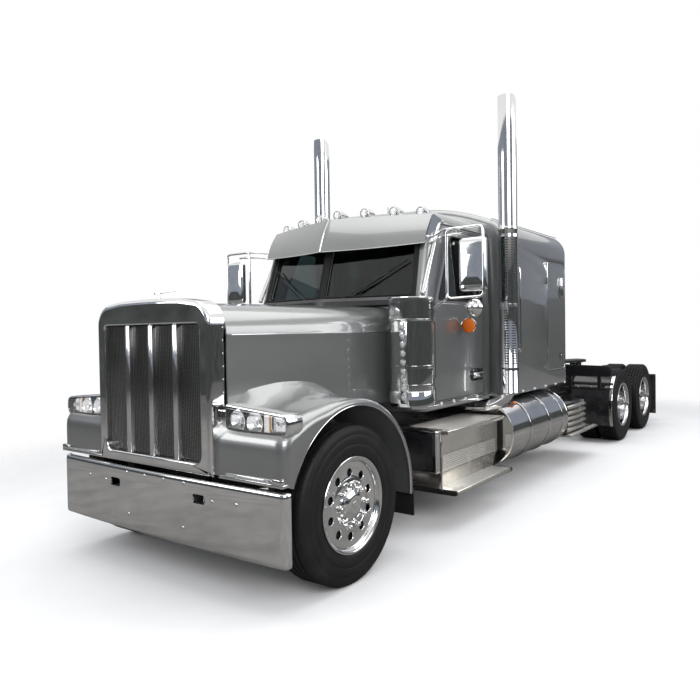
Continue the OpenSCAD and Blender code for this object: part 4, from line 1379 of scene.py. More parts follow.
@dataclass
class Headlight:
    """One headlight pod: a chrome housing round a two-bowl lamp with its turn signal."""

    x: tuple[float, float] = (0.49, 0.65)
    y: Pair = (0.652, 1.192)
    z: Pair = (1.042, 1.248)

    def outline(self, inset: float) -> list[Pair]:
        """The pod's outline seen from the front, taller inboard.

        Args:
            inset: How far inside the edge.

        Returns:
            The outline.
        """
        (y0, y1), (z0, z1) = self.y, self.z
        corners = [(y0 + inset, z0 + inset), (y1 - inset, z0 + 0.026 + inset),
            (y1 - inset, z1 - 0.04 - inset), (y0 + inset, z1 - inset)]
        outer = max(0.016, 0.058 - inset)
        return rounded(corners, (0.022, outer, outer, 0.022), 7)

    def housing(self) -> Form:
        """The housing, open at the front."""
        form = Form("headlight_housings")
        back, front = ax(self.x[0]), ax(self.x[1])
        steps = [(back, 0.03), (back + 0.02, 0.008), (back + 0.06, 0.0), (front - 0.012, 0.0),
            (front - 0.004, 0.003), (front, 0.009), (front, 0.015), (front - 0.006, 0.018)]
        rings = [[Vector((x, y, z)) for y, z in resample(self.outline(i), 96)] for x, i in steps]
        form.loft([*rings[:1], *rings], CHROME, caps=False)
        back_wall = [Vector((front - 0.07, y, z)) for y, z in resample(self.outline(0.022), 96)]
        middle = sum(back_wall, Vector()) / len(back_wall)
        form.loft([rings[-1], back_wall, [middle.lerp(p, 0.001) for p in back_wall]], GLOSS_BLACK,
            caps=False)
        return form

    def lamps(self) -> Form:
        """Reflector bowls, bulbs and the amber strip."""
        form = Form("headlight_lamps")
        front = ax(self.x[1])
        z = sum(self.z) / 2
        for y in (0.76, 0.912):
            bowl = [(-0.062, 0.012), (-0.058, 0.03), (-0.04, 0.052), (-0.018, 0.064), (-0.012, 0.069),
                (-0.01, 0.066), (-0.016, 0.062), (-0.038, 0.048), (-0.054, 0.026), (-0.056, 0.012)]
            form.lathe(bowl, (front, y, z), Along.X, CHROME, 40, close=True)
            form.ball((front - 0.046, y, z), (0.02, 0.015, 0.015), CRYSTAL, 16)
            form.lathe([(-0.03, 0.02), (-0.026, 0.024), (-0.024, 0.02), (-0.028, 0.018)], (front, y, z),
                Along.X, CHROME, 24, close=True)
        form.slab((front - 0.06, 0.984, z - 0.074), (front - 0.014, 1.04, z + 0.068), SIGNAL, 0.008)
        form.slab((front - 0.064, 1.046, z - 0.062), (front - 0.034, 1.16, z + 0.052), CHROME, 0.006)
        for y in (1.075, 1.12):
            form.ball((front - 0.03, y, z), (0.012, 0.014, 0.014), CRYSTAL, 12)
        return form

    def lens(self) -> Form:
        """The clear cover."""
        form = Form("headlight_covers")
        front = ax(self.x[1])
        steps = [(front - 0.008, 0.0162), (front - 0.002, 0.0165), (front + 0.002, 0.022),
            (front + 0.004, 0.032)]
        form.loft([[Vector((x, y, z)) for y, z in resample(self.outline(i), 96)] for x, i in steps], CLEAR)
        return form

    def build(self) -> None:
        """Builds and dresses both pods."""
        self.housing().mirrored().piece("hood", "chrome", "headlights", sharp=36)
        self.lamps().mirrored().piece("hood", "lamp", sharp=36)
        self.lens().mirrored().piece("hood", "lamp", sharp=50)
        arm = Form("headlight_brackets")
        arm.slab((ax(0.56), 0.606, 1.085), (ax(0.63), 0.668, 1.205), CHROME, 0.01, 3)
        arm.slab((ax(0.52), 0.7, 1.01), (ax(0.6), 0.9, 1.05), CHROME, 0.008)
        arm.mirrored().piece("hood", "chrome")


@dataclass
class Bumper:
    """The deep swept bumper with its two tow slots."""

    half: float = 1.19
    front: float = 0.715
    sag: float = 0.03
    z: Pair = (0.3, 0.755)
    wall: float = 0.01
    slot: tuple[float, float, float, float] = (0.4, 0.52, 0.6, 0.66)

    def line(self, inset: float) -> list[Pair]:
        """The bumper's plan: across the face and back round both ends.

        Args:
            inset: How far inside the skin.

        Returns:
            The line's points from the right end to the left.
        """
        half, front, bend = self.half - inset, self.front - inset, 0.045 - inset
        r = (half * half + self.sag**2) / (2 * self.sag)
        side = math.degrees(math.asin((half - bend) / r))
        face = arc(front - r, 0, r, 0, side, 22)
        edge = face[-1][0] - bend
        right = face + arc(edge, half - bend, bend, 6, 90, 8) + [(0.64, half), (0.631, half)]
        return [(x, -y) for x, y in right[:0:-1]] + right

    def skin(self) -> bpy.types.Object:
        """The rolled sheet with its slots cut."""
        form = Form("bumper_skin")
        z0, z1 = self.z
        roll = [(z0, 0.02), (z0 + 0.004, 0.009), (z0 + 0.014, 0.002), (z0 + 0.035, 0.0)]
        roll += [(z0 + 0.035 + (z1 - z0 - 0.07) * k / 6, 0.0) for k in range(1, 6)]
        roll += [(z1 - 0.035, 0.0), (z1 - 0.014, 0.002), (z1 - 0.004, 0.009), (z1, 0.02)]
        outer = [[Vector((ax(x), y, z)) for x, y in self.line(i)] for z, i in roll]
        inner = [[Vector((ax(x), y, z)) for x, y in self.line(i + self.wall)] for z, i in roll[::-1]]
        form.loft(outer + inner, CHROME, closed=False, loop=True)
        count = len(outer[0])
        form.bm.verts.ensure_lookup_table()
        rows = len(outer) + len(inner)
        for column in (0, count - 1):
            ring = [form.bm.verts[r * count + column] for r in range(rows)]
            form.bm.faces.new(ring)
        skin = form.mesh(36)
        y0, y1, z0, z1 = self.slot
        cutters = []
        for side in (-1, 1):
            hole = Form("slot_cutter")
            outline = rounded([(side * y0, z0), (side * y1, z0), (side * y1, z1), (side * y0, z1)], 0.022,
                6)
            hole.prism(outline, Along.X, ax(0.62), ax(0.8), CHROME)
            cutters.append(hole.mesh())
        carve(skin, cutters)
        skin.data.shade_smooth()
        skin.data.set_sharp_from_angle(angle=math.radians(40))
        return skin

    def bolts(self) -> list:
        """Places of the bolt heads on the face."""
        places = []
        for y, z in ((0.105, 0.715), (0.315, 0.715), (0.585, 0.63), (0.3, 0.42), (0.8, 0.64)):
            r = (self.half**2 + self.sag**2) / (2 * self.sag)
            x = self.front - r + math.sqrt(r * r - y * y)
            places.append(((ax(x) - 0.001, y, z), (0.0, 0.0, y / r)))
        return both_sides(places)

    def inside(self) -> Form:
        """The brackets, the slot liners and the tow pins behind the slots."""
        form = Form("bumper_brackets")
        y0, y1, z0, z1 = self.slot
        form.slab((ax(0.4), 0.37, 0.57), (ax(0.703), 0.3995, 0.73), CHASSIS, 0.003)
        form.slab((ax(0.6), 0.522, 0.57), (ax(0.7), 0.55, 0.69), CHASSIS, 0.003)
        form.slab((ax(0.6), 0.3995, 0.662), (ax(0.7), 0.522, 0.69), CHASSIS, 0.003)
        form.slab((ax(0.6), 0.3995, 0.57), (ax(0.7), 0.522, 0.598), CHASSIS, 0.003)
        form.slab((ax(0.59), 0.3995, 0.572), (ax(0.602), 0.548, 0.688), CHASSIS, 0.003)
        form.lathe([(0.598, 0.0155), (0.662, 0.0155)], (ax(0.655), 0.46, 0.0), Along.Z, STEEL, 24)
        return form.mirrored()

    def build(self) -> None:
        """Builds and dresses the bumper."""
        settle(self.skin(), "chassis", "chrome", "front_bumper")
        self.inside().piece("chassis", "frame_black")
        settle(PATTERN.lay("bumper_bolts", dome("bolt", 0.013, 0.006, CHROME, 20), self.bolts(), CHROME),
            "chassis", "chrome")


# ---------------------------------------------------------------- wheels


@dataclass
class Wheels:
    """Every tyre and rim: one front and one drive prototype, copied to its places."""

    tyre_w: float = 0.28
    bead: float = 0.3
    flange: float = 0.324
    front_out: float = 1.18
    rear_out: float = 1.215
    gap: float = 0.045
    nut_circle: float = 0.1429
    hole_circle: float = 0.215
    holes: int = 10
    hole_r: float = 0.027

    def tyre(self, y0: float, lugs: bool) -> Form:
        """One tyre about the origin's axle, with grooves round the tread and rings on its walls.

        Args:
            y0: Its inner face.
            lugs: Whether blocks are added to the tread.

        Returns:
            The form.
        """
        w, r, side = self.tyre_w, TYRE_R, TYRE_R - 0.09
        form = Form("tyre")
        wall = [(0.02, self.bead), (0.0125, 0.328), (0.01, 0.338), (0.0065, 0.342), (0.006, 0.352),
            (0.0045, 0.356), (0.0025, 0.38), (0.0018, 0.402), (0.0035, 0.405), (0.0035, 0.409),
            (0.0008, 0.412), (0.0, 0.432), (0.001, side), (0.0022, 0.462), (0.0045, 0.466), (0.0052, 0.472),
            (0.004, 0.478), (0.009, side + 0.055), (0.014, r - 0.022), (0.022, r - 0.01)]
        top = r - 0.012 if lugs else r
        tread = [(0.034, top - 0.003), (0.042, top)]
        for centre in (0.072, 0.118, 0.162, 0.208):
            tread += [(centre - 0.007, top), (centre - 0.0045, top - 0.013), (centre + 0.0045, top - 0.013),
                (centre + 0.007, top)]
        tread += [(w - 0.042, top), (w - 0.034, top - 0.003)]
        inside = [(w - 0.028, self.bead + 0.004), (0.028, self.bead + 0.004)]
        profile = wall + tread + [(w - at, rad) for at, rad in wall[::-1]] + inside
        form.lathe(profile, (0, y0, 0), Along.Y, TYRE, 120, close=True)
        return form

    def lugs(self, y0: float) -> list:
        """Places of the tread blocks of a drive tyre that starts at y0."""
        places = []
        count = 62
        for row, at in enumerate((0.052, 0.095, 0.14, 0.185, 0.228)):
            for i in range(count):
                a = 2 * math.pi * (i + 0.5 * (row % 2)) / count
                r = TYRE_R - 0.0075
                places.append(((r * math.cos(a), y0 + at, r * math.sin(a)), (0.0, -a, 0.0)))
        return places

    def sipes(self, y0: float) -> list:
        """Places of the small notches along the shoulders of a front tyre that starts at y0."""
        places = []
        for at in (0.0335, self.tyre_w - 0.0335):
            for i in range(110):
                a = 2 * math.pi * i / 110
                r = TYRE_R - 0.0062
                places.append(((r * math.cos(a), y0 + at, r * math.sin(a)), (0.0, -a, 0.0)))
        return places

    def rim(self, y0: float, face: float, dished: bool) -> bpy.types.Object:
        """One rim with its disc and hand holes.

        Args:
            y0: Inner edge of its tyre.
            face: Place of the disc's outer face.
            dished: Whether the disc lies deep inside the barrel.

        Returns:
            An object with no body yet.
        """
        form = Form("rim")
        out, edge = self.flange, y0 + self.tyre_w
        lip = [(edge - 0.012, 0.2995), (edge - 0.0115, out), (edge - 0.008, out + 0.0006),
            (edge - 0.005, out - 0.002), (edge - 0.0045, out - 0.008), (edge - 0.01, 0.306),
            (edge - 0.02, 0.2965), (edge - 0.03, 0.2915)]
        if dished:
            inside = [(edge - 0.06, 0.288), (face + 0.09, 0.284), (face + 0.045, 0.28),
                (face + 0.02, 0.272), (face + 0.006, 0.258), (face + 0.001, 0.244)]
        else:
            inside = [(edge - 0.04, 0.288), (face + 0.004, 0.281), (face + 0.0005, 0.27)]
        disc = [(face, 0.232), (face - 0.001, 0.198), (face + 0.002, 0.18), (face + 0.006, 0.172),
            (face + 0.006, 0.112), (face - 0.006, 0.112), (face - 0.01, 0.172), (face - 0.014, 0.232),
            (face - 0.012, 0.268)]
        barrel = [(face - 0.02, 0.283), (y0 + 0.03, 0.2875), (y0 + 0.005, 0.306), (y0 + 0.005, out),
            (y0 + 0.0115, out), (y0 + 0.012, 0.2995)]
        form.lathe(lip + inside + disc + barrel, (0, 0, 0), Along.Y, ALLOY, 120, close=True)
        rim = form.mesh(34)
        cutters = []
        for i in range(self.holes):
            a = 2 * math.pi * (i + 0.5) / self.holes
            hole = Form("hand_hole")
            hole.lathe([(-0.04, self.hole_r + 0.004), (-0.0045, self.hole_r), (0.0, self.hole_r + 0.001),
                (0.004, self.hole_r + 0.005), (0.03, self.hole_r + 0.012)],
                (self.hole_circle * math.cos(a), face - 0.002, self.hole_circle * math.sin(a)), Along.Y,
                ALLOY, 28)
            cutters.append(hole.mesh())
        carve(rim, cutters)
        rim.data.shade_smooth()
        rim.data.set_sharp_from_angle(angle=math.radians(34))
        return rim

    def hub(self, face: float, reach: float) -> Form:
        """The chrome hub cover.

        Args:
            face: Place of the disc's outer face.
            reach: How far the cover stands out of it.

        Returns:
            The form.
        """
        form = Form("hub")
        steps = [(0.004, 0.116), (0.01, 0.1165), (0.016, 0.112), (0.02, 0.104), (reach * 0.55, 0.098),
            (reach * 0.62, 0.0985), (reach * 0.66, 0.094), (reach * 0.9, 0.076), (reach * 0.98, 0.06),
            (reach, 0.04), (reach - 0.002, 0.03), (reach + 0.001, 0.026), (reach + 0.002, 0.004)]
        form.lathe([(-0.06, 0.1), (-0.058, 0.111), *steps], (0, face, 0), Along.Y, CHROME, 64)
        return form

    def nuts(self, face: float) -> list:
        """Places of the ten nut covers on a disc."""
        places = []
        for i in range(10):
            a = 2 * math.pi * i / 10
            places.append(((self.nut_circle * math.cos(a), face + 0.005, self.nut_circle * math.sin(a)),
                (0.0, 0.0, math.pi / 2)))
        return places

    def nut_cover(self) -> Form:
        """A tall nut cover that points along +X before it is turned."""
        form = Form("nut_cover")
        form.lathe([(-0.001, 0.0205), (0.003, 0.0205), (0.005, 0.0175), (0.03, 0.0165), (0.041, 0.0135),
            (0.045, 0.007), (0.0455, 0.001)], (0, 0, 0), Along.X, CHROME, 18)
        return form

    def backing(self, y0: float, y1: float) -> Form:
        """The brake drum that shows dark through the hand holes.

        Args:
            y0: Inner face.
            y1: Outer face.

        Returns:
            The form.
        """
        form = Form("drum")
        form.lathe([(y0, 0.11), (y0, 0.225), (y0 + 0.02, 0.232), (y1 - 0.03, 0.232), (y1, 0.225),
            (y1, 0.06)], (0, 0, 0), Along.Y, CASTING, 48)
        return form

    def put(self, proto: bpy.types.Object, name: str, x: float, side: int, body: str, slot: str,
            *replaced: str) -> None:
        """Copies a prototype to a wheel.

        Args:
            proto: The prototype, made about X = 0 and Z = 0 on the left.
            name: Name of the copy.
            x: The wheel's axle.
            side: 1 for left and -1 for right.
            body: The body that it rides on.
            slot: The record's material slot.
            replaced: The CAD nodes that it stands for.
        """
        data = proto.data.copy()
        data.name = name
        data.transform(Matrix.Translation((x, 0, AXLE_Z)) @ Matrix.Diagonal((1, side, 1, 1)))
        if side < 0:
            data.flip_normals()
        piece = bpy.data.objects.new(name, data)
        bpy.context.scene.collection.objects.link(piece)
        settle(piece, body, slot, *replaced)

    def build(self) -> None:
        """Builds the prototypes and sets them on the ten wheels."""
        f0, outer = self.front_out - self.tyre_w, self.rear_out - self.tyre_w
        inner = self.rear_out - 2 * self.tyre_w - self.gap
        face_f, face_r = f0 + 0.238, outer + 0.034
        lug = Form("lug")
        lug.slab((-0.0085, -0.0175, -0.019), (0.007, 0.0175, 0.019), TYRE, 0.0022, 1)
        notch = Form("notch")
        notch.slab((-0.006, -0.007, -0.0035), (0.003, 0.007, 0.0035), TYRE, 0.001, 1)
        protos = {
            "front_tyre": self.tyre(f0, False).mesh(36),
            "front_sipes": PATTERN.lay("sipes", notch, self.sipes(f0), TYRE),
            "outer_tyre": self.tyre(outer, True).mesh(36),
            "inner_tyre": self.tyre(inner, True).mesh(36),
            "outer_lugs": PATTERN.lay("lugs", lug, self.lugs(outer) + self.lugs(inner), TYRE),
            "front_rim": self.rim(f0, face_f, False),
            "rear_rim": self.rim(outer, face_r, True),
            "inner_rim": self.rim(inner, inner + 0.262, False),
            "front_hub": self.hub(face_f, 0.046).mesh(30),
            "rear_hub": self.hub(face_r, 0.15).mesh(30),
            "front_nuts": PATTERN.lay("nuts", self.nut_cover(), self.nuts(face_f), CHROME),
            "rear_nuts": PATTERN.lay("nuts", self.nut_cover(), self.nuts(face_r), CHROME),
            "front_drum": self.backing(f0 + 0.05, face_f - 0.035).mesh(30),
            "rear_drum": self.backing(inner + 0.03, face_r - 0.03).mesh(30),
        }
        for side, word in ((1, "left"), (-1, "right")):
            body = f"{word}_front_wheel"
            for key, slot, *nodes in (("front_tyre", "tyre", f"{word}_front_tyre"), ("front_sipes", "tyre"),
                    ("front_rim", "polished", f"{word}_front_rim"), ("front_hub", "chrome"),
                    ("front_nuts", "chrome"), ("front_drum", "cast")):
                self.put(protos[key], f"{word}_{key}_look", AXLE_X, side, body, slot, *nodes)
            for i in (1, 2):
                body = f"{word}_drive_wheel_{i}"
                keys = (("outer_tyre", "tyre", f"{word}_drive_tyres_{i}"),
                    ("inner_tyre", "tyre", f"{word}_drive_tyres_{i}"), ("outer_lugs", "tyre"),
                    ("rear_rim", "polished", f"{word}_drive_rims_{i}"),
                    ("inner_rim", "polished", f"{word}_drive_rims_{i}"), ("rear_hub", "chrome"),
                    ("rear_nuts", "chrome"), ("rear_drum", "cast"))
                for key, slot, *nodes in keys:
                    self.put(protos[key], f"{word}_{i}_{key}_look", REAR_X[i - 1], side, body, slot, *nodes)
        for proto in protos.values():
            mesh = proto.data
            bpy.data.objects.remove(proto)
            bpy.data.meshes.remove(mesh)


# ---------------------------------------------------------------- side equipment


@dataclass
class AirCleaner:
    """The chrome air cleaners at the cowl, each with a bar of small lamps."""

    x: float = -1.06
    y: float = 0.975
    r: float = 0.185
    z: Pair = (1.06, 1.97)

    def can(self) -> Form:
        """The can with its rims, straps and brackets."""
        form = Form("air_cleaner_cans")
        z0, z1, r = *self.z, self.r
        centre = (ax(self.x), self.y, 0)
        profile = [(z0, 0.02), (z0, 0.15), (z0 + 0.006, 0.165), (z0 + 0.02, r - 0.012),
            (z0 + 0.022, r - 0.004), (z0 + 0.026, r), (z0 + 0.14, r), (z0 + 0.146, r - 0.003),
            (z0 + 0.15, r - 0.012)]
        profile += [(z1 - 0.204, r - 0.012), (z1 - 0.203, r - 0.004), (z1 - 0.198, r), (z1 - 0.19, r),
            (z1 - 0.187, r - 0.003), (z1 - 0.032, r - 0.003), (z1 - 0.03, r), (z1 - 0.018, r),
            (z1 - 0.012, r - 0.004), (z1 - 0.01, r - 0.012), (z1 - 0.004, r - 0.05), (z1 - 0.001, r - 0.1),
            (z1, 0.01)]
        form.lathe(profile, centre, Along.Z, CHROME, 96)
        for z in (1.25, 1.4):
            form.lathe([(z - 0.011, r - 0.0125), (z - 0.01, r - 0.0085), (z + 0.01, r - 0.0085),
                (z + 0.011, r - 0.0125)], centre, Along.Z, ALLOY, 96)
            form.slab((centre[0] - 0.03, self.y + r - 0.016, z - 0.014),
                (centre[0] + 0.03, self.y + r - 0.002, z + 0.014), CHROME, 0.004)
        for z in (1.205, 1.725):
            form.slab((ax(self.x - 0.205), self.y - 0.085, z - 0.02),
                (ax(self.x - 0.12), self.y - 0.045, z + 0.02), CHASSIS, 0.004)
        return form

    def bar(self) -> Form:
        """The lamp bar on the can's front."""
        form = Form("lamp_bars")
        front = ax(self.x) + self.r
        form.slab((front - 0.03, self.y + 0.005, 1.11), (front + 0.006, self.y + 0.065, 1.765), CHROME,
            0.012, 3)
        for k in range(9):
            form.lathe([(0.004, 0.0262), (0.009, 0.026), (0.01, 0.022), (0.006, 0.0205)],
                (front, self.y + 0.035, 1.158 + 0.07 * k), Along.X, CHROME, 20)
        return form

    def build(self) -> None:
        """Builds and dresses both air cleaners."""
        self.can().mirrored().piece("chassis", "chrome", "air_cleaners", sharp=30)
        self.bar().mirrored().piece("chassis", "chrome")
        front = ax(self.x) + self.r
        lamps = [((front + 0.006, self.y + 0.035, 1.158 + 0.07 * k), (0.0, 0.0, 0.0)) for k in range(9)]
        settle(PATTERN.lay("lamp_bar_domes", dome("led", 0.0205, 0.013, CRYSTAL, 20), both_sides(lamps),
            CRYSTAL), "chassis", "lamp")
        # The vent openings are not cut: black strips on the solid can paint the shade inside them.
        slot = Form("vent_slot")
        slot.slab((-0.0016, -0.003, -0.056), (0.0014, 0.003, 0.056), CHASSIS, 0.0012, 1)
        vents = []
        for k in range(84):
            a = 2 * math.pi * k / 84
            vents.append(((ax(self.x) + (self.r - 0.0034) * math.cos(a),
                self.y + (self.r - 0.0034) * math.sin(a), self.z[1] - 0.11), (0.0, 0.0, a)))
        settle(PATTERN.lay("air_cleaner_vents", slot, both_sides(vents), CHASSIS), "chassis", "frame_black")


@dataclass
class Stack:
    """The exhaust stacks: slotted guards below, mitred pipes above and elbows at the foot."""

    x: float = 1.52
    y: float = 1.175
    r: float = 0.094
    foot: float = 1.05
    guard_top: float = 2.69
    top: float = 3.955
    elbow: tuple[float, float] = (1.586, 0.92)

    def pipes(self) -> Form:
        """Pipe, guard rims, elbow and clamps."""
        form = Form("stack_pipes")
        r, n = self.r, 64
        upper = r - 0.004
        rings = []
        for z, rad in [(self.guard_top - 0.05, upper), (self.guard_top + 0.01, upper), (3.2, upper),
                (3.6, upper)]:
            rings.append([Vector((self.x + rad * math.cos(a), self.y + rad * math.sin(a), z)) for a in
                (2 * math.pi * i / n for i in range(n))])
        for rad in (upper, upper - 0.004):
            ring = []
            for i in range(n):
                a = 2 * math.pi * i / n
                dx = rad * math.cos(a)
                z = min(self.top, self.top - 0.19 + math.tan(math.radians(40)) * (dx + 2 * r))
                ring.append(Vector((self.x + dx, self.y + rad * math.sin(a), z)))
            rings.append(ring)
        rings.append([Vector((self.x + (upper - 0.004) * math.cos(a),
            self.y + (upper - 0.004) * math.sin(a), 3.0)) for a in (2 * math.pi * i / n for i in range(n))])
        form.loft(rings, CHROME, caps=False)
        # A black disc closes the bore about 1 m below the top: painted shade for the depth of the pipe.
        form.loft([rings[-1],
            [Vector((self.x + 0.001 * math.cos(a), self.y + 0.001 * math.sin(a), 3.0)) for a in
            (2 * math.pi * i / n for i in range(n))]], CHASSIS, caps=False)
        guard = [(self.foot, r - 0.03), (self.foot + 0.004, r - 0.004), (self.foot + 0.01, r),
            (self.foot + 0.022, r), (self.foot + 0.028, r - 0.003), (self.guard_top - 0.04, r - 0.003),
            (self.guard_top - 0.034, r), (self.guard_top - 0.012, r), (self.guard_top - 0.004, r - 0.0035),
            (self.guard_top, r - 0.012)]
        form.lathe(guard, (self.x, self.y, 0), Along.Z, CHROME, n)
        for z in (1.3, 1.92, 2.6):
            form.lathe([(z - 0.016, r - 0.004), (z - 0.014, r + 0.0015), (z + 0.014, r + 0.0015),
                (z + 0.016, r - 0.004)], (self.x, self.y, 0), Along.Z, ALLOY, n)
        ex, ez = self.elbow
        path = smooth_path([(self.x, self.y, 1.16), (self.x, self.y, 1.085),
            (self.x + 0.01, self.y - 0.05, 1.01), (ex - 0.028, self.y - 0.13, 0.955),
            (ex - 0.002, 0.96, ez + 0.005), (ex, 0.88, ez), (ex, 0.7, ez), (ex, 0.435, ez)], 7)
        form.tube(path, 0.056, ALLOY, 28)
        form.lathe([(-0.022, 0.057), (-0.02, 0.062), (0.02, 0.062), (0.022, 0.057)], (ex, 0.84, ez),
            Along.Y, STEEL, 40)
        for z in (1.92, 2.62):
            form.slab((SLEEPER.front - 0.04, SLEEPER.half, z - 0.018),
                (self.x - 0.03, self.y - r + 0.01, z + 0.018), STEEL, 0.004)
        return form

    def slots(self) -> list:
        """Places of the black strips on the guard: eight columns of short horizontal openings, not cut but
        painted as the shade inside them.
        """
        places = []
        for column in (10, 58, 106, 154, -38, -86, -134, 202):
            for k in range(50):
                z = 1.355 + 0.0245 * k
                if abs(z - 1.92) > 0.03 and z < self.guard_top - 0.12:
                    places.append(((self.x, self.y, z), (0.0, 0.0, math.radians(column))))
        return places

    def build(self) -> None:
        """Builds and dresses both stacks."""
        self.pipes().mirrored().piece("chassis", "chrome", "exhaust_stacks", sharp=32)
        # The guard stays solid: its slots are black strips that paint the shade inside the openings.
        strip = Form("guard_slot")
        r = self.r - 0.0026
        angles = [math.radians(a) for a in (-17, -15.5, -8, 0, 8, 15.5, 17)]
        rings = []
        for a, h in zip(angles, (0.001, 0.0042, 0.0048, 0.0048, 0.0048, 0.0042, 0.001)):
            rings.append([Vector((rad * math.cos(a), rad * math.sin(a), z)) for rad,
                z in ((r, -h), (r, h), (r - 0.004, h), (r - 0.004, -h))])
        strip.loft(rings, CHASSIS)
        settle(PATTERN.lay("stack_guard_slots", strip, both_sides(self.slots()), CHASSIS), "chassis",
            "frame_black")


@dataclass
class Mirror:
    """The tall mirrors on tube frames, with a round convex mirror below."""

    x: float = 2.735
    inner: float = 1.16
    outer: float = 1.49
    z: Pair = (1.94, 2.54)

    def tubes(self) -> Form:
        """The tube frame and its arms to the cab."""
        form = Form("mirror_frames")
        x, (z0, z1) = self.x, self.z
        loop = rounded([(self.inner, z0 + 0.01), (self.outer, z0 + 0.02), (self.outer, z1 - 0.016),
            (self.inner, z1 - 0.016)], 0.045, 6)
        form.tube([(x, y, z) for y, z in loop], 0.0115, CHROME, 12, loop=True)
        for lift, back in ((0.0, 0.0), (-0.05, 0.01)):
            form.tube(smooth_path([(x, self.inner + 0.14, z1 - 0.016 + lift),
                (x, self.inner, z1 - 0.017 + lift), (x - 0.07, self.inner - 0.11, z1 - 0.024 + lift),
                (x - 0.178 - back, 0.922, z1 - 0.04 + lift)], 6), 0.0105, CHROME, 12)
        form.tube(smooth_path([(x, self.inner, z0 + 0.04), (x, self.inner - 0.01, z0 + 0.008),
            (x - 0.03, self.inner - 0.11, z0 - 0.045), (x - 0.06, 0.958, z0 - 0.09)], 6), 0.0105, CHROME,
            12)
        form.slab((x - 0.085, 0.955, z0 - 0.125), (x - 0.035, 0.968, z0 - 0.055), CHROME, 0.005)
        form.slab((x - 0.205, 0.918, z1 - 0.11), (x - 0.155, 0.932, z1 - 0.02), CHROME, 0.005)
        form.tube([(x, self.outer - 0.11, z0 + 0.02), (x - 0.004, self.outer - 0.11, z0 - 0.03)], 0.0085,
            CHROME, 10)
        return form

    def heads(self) -> Form:
        """The mirror heads: rounded backs, rims, glass and the convex mirrors."""
        form = Form("mirror_heads")
        x = self.x
        outline = rounded([(self.inner + 0.112, self.z[0] + 0.062), (self.outer + 0.018, self.z[0] + 0.062),
            (self.outer + 0.018, self.z[1] - 0.102), (self.inner + 0.112, self.z[1] - 0.102)], 0.04, 7)
        middle = Vector((1.39, 2.22))
        steps = [(x - 0.05, 0.97), (x - 0.047, 0.992), (x - 0.04, 1.0), (x - 0.012, 1.0),
            (x - 0.002, 0.975), (x + 0.006, 0.9), (x + 0.009, 0.75), (x + 0.0105, 0.4)]
        form.loft([[Vector((at, middle.x + (y - middle.x) * k, middle.y + (z - middle.y) * k)) for y,
            z in outline] for at, k in steps], CHROME)
        form.prism(inset_outline(outline, 0.009), Along.X, x - 0.0515, x - 0.048, MIRROR, 0.001)
        y, z = self.outer - 0.11, self.z[0] - 0.07
        bowl = [(-0.031, 0.072), (-0.027, 0.0745), (-0.02, 0.0735), (0.004, 0.066), (0.024, 0.05),
            (0.04, 0.026), (0.045, 0.006)]
        form.lathe([(-0.03, 0.066), *bowl], (x - 0.025, y, z), Along.X, CHROME, 40)
        form.lathe([(-0.03, 0.0685), (-0.034, 0.06), (-0.038, 0.035), (-0.0395, 0.004)], (x - 0.025, y, z),
            Along.X, MIRROR, 40)
        return form

    def build(self) -> None:
        """Builds and dresses both mirrors."""
        self.tubes().mirrored().piece("chassis", "chrome", "mirrors", sharp=40)
        self.heads().mirrored().piece("chassis", "chrome", sharp=36)


@dataclass
class Tank:
    """The polished fuel tanks with straps, brackets, caps and an amber lamp."""

    front: float = 1.51
    length: float = 1.6
    y: float = 0.89
    z: float = 0.635
    r: float = 0.325

    def body(self) -> Form:
        """The tank with its domed ends, rolled rims and weld seam."""
        form = Form("tank_shells")
        x0, x1, r = self.front - self.length, self.front, self.r
        profile = [(x0 + 0.014, 0.004), (x0 + 0.013, 0.08), (x0 + 0.01, 0.18), (x0 + 0.006, 0.26),
            (x0 + 0.004, 0.295), (x0 + 0.0, 0.306), (x0 + 0.001, r - 0.005), (x0 + 0.006, r),
            (x0 + 0.02, r), (x0 + 0.024, r - 0.003)]
        other = [(x0 + x1 - at, rad) for at, rad in profile[::-1]]
        form.lathe(profile + [(x0 + 0.5 * self.length, r - 0.0028)] + other, (0, self.y, self.z), Along.X,
            ALLOY, 128)
        form.slab((x0 + 0.03, self.y + r - 0.004, self.z - 0.003),
            (x1 - 0.03, self.y + r - 0.0005, self.z + 0.003), ALLOY, 0.0012)
        return form

    def straps(self) -> Form:
        """Straps, brackets, filler caps and the amber lamp."""
        form = Form("tank_straps")
        for x in (1.045, 0.515, 0.09):
            band = [(-0.026, self.r - 0.004), (-0.026, self.r + 0.005), (-0.022, self.r + 0.0065),
                (0.022, self.r + 0.0065), (0.026, self.r + 0.005), (0.026, self.r - 0.004)]
            form.lathe(band, (x, self.y, self.z), Along.X, CHROME, 96, close=True)
            form.slab((x - 0.044, 0.431, self.z - self.r - 0.018),
                (x + 0.044, 0.9, self.z - self.r + 0.012), CHASSIS, 0.004)
            form.slab((x - 0.044, 0.431, self.z - self.r - 0.018), (x + 0.044, 0.6, FRAME_TOP - 0.022),
                CHASSIS, 0.004)
            form.tube([(x, self.y + self.r * 0.8, self.z + self.r * 0.62),
                (x, self.y + self.r * 0.72, self.z + self.r * 0.72)], 0.009, STEEL, 10)
        top = self.z + self.r
        form.lathe([(-0.012, 0.062), (0.004, 0.06), (0.006, 0.05), (0.03, 0.049), (0.034, 0.044),
            (0.035, 0.004)], (self.front - 0.15, self.y + 0.04, top - 0.006), Along.Z, CHROME, 36)
        form.slab((self.front - 0.4, self.y + 0.1, top - 0.035),
            (self.front - 0.26, self.y + 0.19, top - 0.014), GLOSS_BLACK, 0.006)
        form.ball((self.front - 0.33, self.y + 0.19, top - 0.032), (0.026, 0.018, 0.016), AMBER, 14)
        return form

    def build(self) -> None:
        """Builds and dresses both tanks."""
        self.body().mirrored().piece("chassis", "polished", "fuel_tanks", sharp=30)
        self.straps().mirrored().piece("chassis", "chrome", sharp=34)


